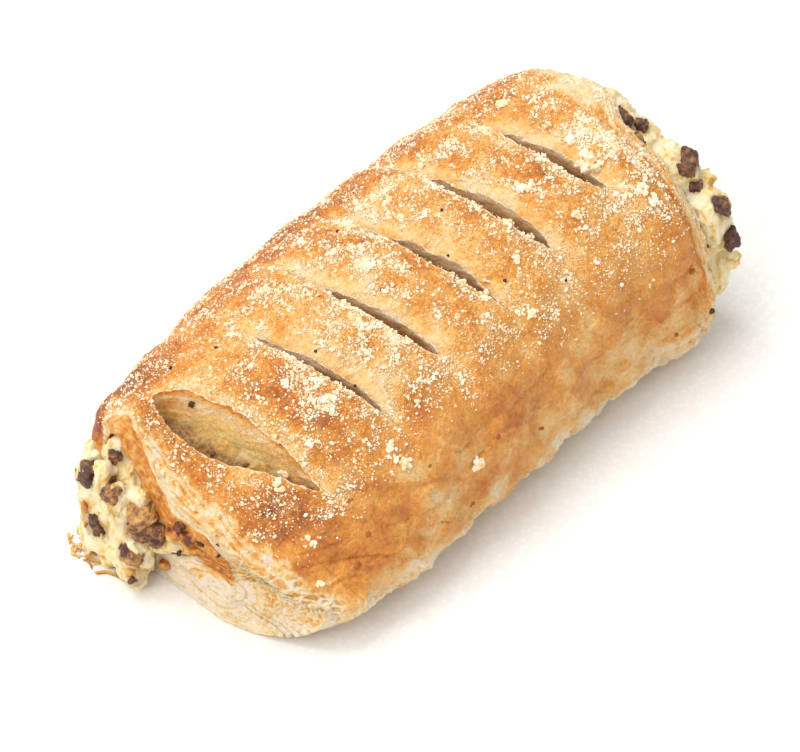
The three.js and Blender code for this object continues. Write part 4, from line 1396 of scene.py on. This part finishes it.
def dome(ring, top, centre):
    """Rings that close an end of the filling with a bulge, whose top lies at this X."""
    rings = []
    for k in range(DOME_RINGS):
        turn = 0.5 * np.pi * k / DOME_RINGS
        x = ring[:, 0] + (top - ring[:, 0]) * math.sin(turn)
        y, z = (middle + math.cos(turn) * (ring[:, i + 1] - middle) for i, middle in enumerate(centre))
        rings.append(np.stack([x, y, z], -1))
    return np.array(rings)


def heaps():
    """The filling's two ends, each as a dome with curds and smaller bits heaped on it."""
    rng = np.random.default_rng(5)
    near = filling_rings(np.linspace(*NEAR_RINGS), NEAR_COLUMNS)
    near = np.concatenate([dome(near[0], NEAR_X - BULGE, NEAR_DOME)[::-1], near])
    far = filling_rings(np.linspace(*FAR_RINGS), FAR_COLUMNS)
    far = np.concatenate([far, dome(far[-1], FAR_X + BULGE, FAR_DOME)])
    near_lumps, far_lumps = [tube(near)], [tube(far)]
    for i, (at, size, turn) in enumerate(CURDS):
        (near_lumps if at[0] < 0 else far_lumps).append(lump(at, size, turn, 3, 0.14, 100 + i, 0.6))
    for i in range(NEAR_BITS):
        at = (-69.0 - 3.4 * rng.random(), rng.uniform(5, 21), rng.uniform(2, 27))
        size = (rng.uniform(1.1, 2.2), rng.uniform(0.9, 2.1), rng.uniform(2.2, 4.6))
        if 0.22 * (at[1] - 15) ** 2 < 27 - at[2] or at[1] > 15:
            near_lumps.append(lump(at, size, 3 * rng.random(), 2, 0.2, 200 + i, 0.55))
    for i in range(FAR_BITS):
        at = (68.5 + 3.2 * rng.random(), rng.uniform(-31, 27), rng.uniform(5, 42))
        if ((at[1] + 1) / 31) ** 2 + ((at[2] - 22) / 20) ** 2 < 1:
            far_lumps.append(lump(at, tuple(rng.uniform(1.0, 2.5, 3)), 3 * rng.random(), 2, 0.3, 300 + i))
    return near_lumps, far_lumps


def build_filling(material):
    """The filling's ends, and the run of it between them that the slashes show."""
    near_lumps, far_lumps = heaps()
    run = tube(filling_rings(spread(RUN_START, RUN_END, lambda x: RUN_STEP + 0 * x), RUN_COLUMNS))
    parts, creases = [], []
    for skin_of, seed in ((fused(near_lumps, NEAR_VOXEL), 91), (fused(far_lumps, FAR_VOXEL), 91), (run, 96)):
        points, crease = craggy(*skin_of, FACET_SIZE, FACET_HEIGHT, seed)
        parts.append((points, skin_of[1]))
        creases.append(crease)
    points, faces = gathered(parts)
    x, y = points[:, 0], points[:, 1]
    points[:, 2] = np.maximum(points[:, 2], 0.05)
    crease = np.concatenate(creases)
    # painted shade: the filling is darker in its creases
    tone = 0.18 + 0.2 * noise(points, 8, 94) + 0.2 * rough(points, 4, 95) + 0.46 * crease
    # the far end is made a little paler, painted light on that shaded end; low down next to the floor it is
    # browner
    tone = tone - 0.03 * smooth(55, 62, x) + 0.2 * (1 - smooth(0, 5, points[:, 2])) * smooth(4, 12, y)
    inside = smooth(-62, -59, x) * (1 - smooth(60, 63, x))
    # greyer inside the crust than at its ends, and in the creases as painted shade
    grey = inside * (0.4 + 0.3 * rough(points, 4, 96) + 0.25 * crease)
    mass = mesh_piece("filling_mass", points, faces, material, {"tone": tone, "grey": grey})
    return mass, tree_of([(points, faces)])


# The plan of the bed that the gaping slash shows, its step, its highest top and how deep it lies
BED_NEAR, BED_FAR, BED_RIGHT, BED_LEFT, BED_STEP, BED_TOP, BED_DEPTH = -59.5, -47, -22.5, 13, 0.24, 32.4, 9.6


def build_bed(material):
    """The top of the filling where the gaping slash shows it."""
    slash = SLASHES[0]
    plan = np.arange(BED_NEAR, BED_FAR, BED_STEP), np.arange(BED_RIGHT, BED_LEFT, BED_STEP)
    x, y = np.meshgrid(*plan, indexing="ij")
    past = (x - slash["x"] - lean(slash["x"], y)) / slash["far"]
    top = np.minimum(top_height(row_of(x, y), y) - BED_DEPTH, BED_TOP)
    p = np.stack([x, y, top + 1.6 * smooth(-0.1, 0.9, past) + 1.6 * smooth(1, 8, y)], -1)
    coarse, fine = np.abs(noise(p, 4.2, 120)), np.abs(noise(p, 1.7, 121))
    p[..., 2] += 1.6 * coarse + 0.8 * fine + 0.35 * rough(p, 0.9, 122) - 0.6
    crease = 0.6 * smooth(0.2, 0, coarse) + 0.5 * smooth(0.2, 0, fine)
    # painted shade: darker and greyer in the creases
    tone = 0.5 + 0.16 * noise(p, 5, 123) + 0.1 * crease
    # painted shade: the bed under the near lip is greyed towards a dull brown, as if in shade
    shade_under_lip = 1.0 - 0.8 * smooth(-0.1, 0.6, past + 0.2 * noise(p, 4, 125))
    grey = clamp(shade_under_lip + 0.5 * rough(p, 2.5, 124) + 0.2 * crease)
    points, faces = p.reshape(-1, 3), sheet(x.shape)
    bed = mesh_piece("filling_bed", points, faces, material, {"tone": tone.ravel(), "grey": grey.ravel()})
    return bed, tree_of([(points, faces)])


def laid_lumps(marks, tree, rng, bits, sink):
    """Rough chunks, each of several bits, pressed into a surface: their meshes, and middle, tone and size."""
    lumps, chunks = [], []
    for i, (at, size, tone) in enumerate(marks):
        hit, normal = laid_on(tree, at)
        middle = hit - sink * min(size) * normal
        whole = [lump(middle, tuple(0.9 * v for v in size), 3 * rng.random(), 2, 0.5, 400 + i, 0.6)]
        for k in range(bits):
            way = rng.normal(size=3)
            way /= np.linalg.norm(way)
            radius = min(size) * rng.uniform(0.3, 0.55)
            bit, seed = tuple(radius * rng.uniform(0.6, 1.4, 3)), 500 + 20 * i + k
            whole.append(lump(middle + 0.7 * way * size, bit, 3 * rng.random(), 2, 0.4, seed, 0.6))
        lumps += whole
        chunks.append((middle, tone, max(size)))
    return lumps, chunks


def tones_of(points, marks):
    """For each corner, the tone of the mark that it is nearest to."""
    away = np.stack([np.linalg.norm(points - mark[0], axis=1) for mark in marks], -1)
    return np.array([mark[1] for mark in marks])[away.argmin(1)]


def build_meat(trees, material):
    """The mince on both ends and in the gaping slash."""
    rng = np.random.default_rng(7)
    lumps, marks = laid_lumps(MINCE, trees[0], rng, 7, 0.45)
    more = laid_lumps(SLASH_BITS, trees[1], rng, 4, 0.2)
    lumps, marks = lumps + more[0], marks + more[1]
    points, faces = fused(lumps, MINCE_VOXEL)
    points, crease = craggy(points, faces, 1.8, 0.6, 97)
    # painted shade: the mince is darker in its creases
    tone = tones_of(points, marks) + 0.3 * noise(points, 1.8, 98) - 0.15 * crease
    return mesh_piece("mince", points, faces, material, {"tone": tone}), marks


def stain(mass, marks):
    """Brown the filling round the mince."""
    p, grey = corners(mass.data), attribute(mass.data, "grey")
    for middle, _, size in marks:
        away = np.linalg.norm(p - middle, axis=1) - 0.8 * size
        grey = np.maximum(grey, 0.6 * np.exp(-np.maximum(away, 0) / 0.7))
    give(mass.data, "grey", grey)


def build_toasted(tree, material):
    """Toasted blobs round the mouth of the gaping end."""
    rng = np.random.default_rng(9)
    lumps, marks = laid_lumps(TOASTED, tree, rng, 5, 0.1)
    points, faces = fused(lumps, TOASTED_VOXEL)
    points, _ = craggy(points, faces, 2.2, 0.3, 99)
    tone = tones_of(points, marks) + 0.1 * noise(points, 1.6, 98)
    return mesh_piece("toasted_bits", points, faces, material, {"tone": tone, "grey": 0 * tone})


LACE_NEAR, LACE_FAR, LACE_RIGHT, LACE_LEFT, LACE_STEP = -77, -64, 4, 28, 0.25


def build_lace(material):
    """A crisp, lacy skirt of what ran out on to the floor at the gaping end."""
    plan = np.arange(LACE_NEAR, LACE_FAR, LACE_STEP), np.arange(LACE_RIGHT, LACE_LEFT, LACE_STEP)
    x, y = np.meshgrid(*plan, indexing="ij")
    p = np.stack([x, y, 0 * x], -1)
    edge = -70.5 - 4.2 * np.sqrt(clamp(1 - ((y - 17) / 10) ** 2)) + 1.4 * noise(p, 4, 110)
    first, second, _ = cells(p, 1.7, 111)
    holes = smooth(2.5, 5, x - edge)
    rim = (x < edge + 0.6 + 0.5 * noise(p, 1.6, 114)) & (noise(p, 3.4, 115) > -0.3)
    threads = (second - first < 0.07 + 0.6 * holes + 0.1 * noise(p, 1.2, 112)) & (noise(p, 4.5, 116) > -0.15)
    kept = (x > edge) & (rim | threads) & (np.abs(y - 16) < 10.5)
    rise = 0.35 + 0.5 * np.abs(noise(p, 2.2, 113))
    heights = [rise, 0.5 * rise - 0.1]
    points = np.concatenate([(p + z[..., None] * [0, 0, 1]).reshape(-1, 3) for z in heights])
    up = sheet(x.shape, kept[:-1, :-1])
    used, faces = np.unique(np.concatenate([up, up[:, ::-1] + x.size]), return_inverse=True)
    points, faces = points[used], faces.reshape(-1, 3)
    tone = 0.68 + 0.16 * noise(points, 2, 114) - 0.3 * smooth(-72, -69, points[:, 0])
    return mesh_piece("lace", points, faces, material, {"tone": tone, "grey": 0 * tone})


# ---- The object ----

crust_look = crust_material()
crust, body_grid = build_crust(crust_look)
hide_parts("crust")
end, end_grid = build_end(crust_look)

filling_look = filling_material()
filling, filling_tree = build_filling(filling_look)
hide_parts("filling")
bed, bed_tree = build_bed(filling_look)
mince, marks = build_meat((filling_tree, bed_tree), meat_material())
stain(filling, marks)
stain(bed, marks)
mouth_tree = tree_of_pieces(filling, end)
toasted = build_toasted(mouth_tree, filling_look)
lace = build_lace(filling_look)

char = plain_material("charred specks", srgb(62, 40, 30), 0.5)
crumbs = build_crumbs((body_grid, end_grid), tree_of_pieces(crust, end), crumb_material(), char)
rng = np.random.default_rng(13)
bits = [cluster(*laid_on(mouth_tree, place), radius, 3, rng, 0.3, 0.4) for *place, radius in PEPPER]
pepper = scatter_clusters("pepper", bits, rng, char, 0.15)

for piece in (crust, end, *crumbs):
    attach(piece, "root")
for piece in (filling, bed, mince, toasted, lace, pepper):
    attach(piece, "root")

# ---- Floor, light and camera ----

FLOOR_SIZE = 6
bpy.ops.mesh.primitive_plane_add(size=FLOOR_SIZE, location=(0, 0, 0))
floor = bpy.context.object
floor.name = "floor"
floor.data.materials.append(floor_material())


# Direction, distance, size and power of each light
LIGHTS = {"key": ((-0.1, 0.42, 1.2), 1.1, 0.7, 7.4), "fill": ((-1.0, 0.0, 0.9), 1.4, 0.9, 7.5)}
LIT_POINT = Vector((0, 0, 0.02))
ROOM_STRENGTH = 0.72
AIM, BACK = Vector((0.006, 0.0055, 0.0053)), Vector(VIEW).normalized()
CAMERA_AWAY, CAMERA_LENS, CAMERA_SENSOR = 1.2, 254.9, 36


def stood(name, data, middle, way, distance):
    """A light or camera that looks at a point from this way off."""
    thing = bpy.data.objects.new(name, data)
    thing.location = middle + way * distance
    thing.rotation_euler = way.to_track_quat("Z", "Y").to_euler()
    bpy.context.scene.collection.objects.link(thing)
    return thing


for name, (direction, distance, size, watts) in LIGHTS.items():
    light = bpy.data.lights.new(name, "AREA")
    light.shape, light.size, light.energy = "SQUARE", size, watts
    stood(name, light, LIT_POINT, Vector(direction).normalized(), distance)

world = bpy.data.worlds.new("room")
bpy.context.scene.world = world
world.use_nodes = True
world.node_tree.nodes["Background"].inputs["Color"].default_value = (1, 1, 1, 1)
world.node_tree.nodes["Background"].inputs["Strength"].default_value = ROOM_STRENGTH

camera = bpy.data.cameras.new("camera")
camera.sensor_width, camera.lens = CAMERA_SENSOR, CAMERA_LENS
camera.clip_start, camera.clip_end = 0.01, 50
bpy.context.scene.camera = stood("camera", camera, AIM, BACK, CAMERA_AWAY)
bpy.context.scene.view_settings.view_transform = "Standard"
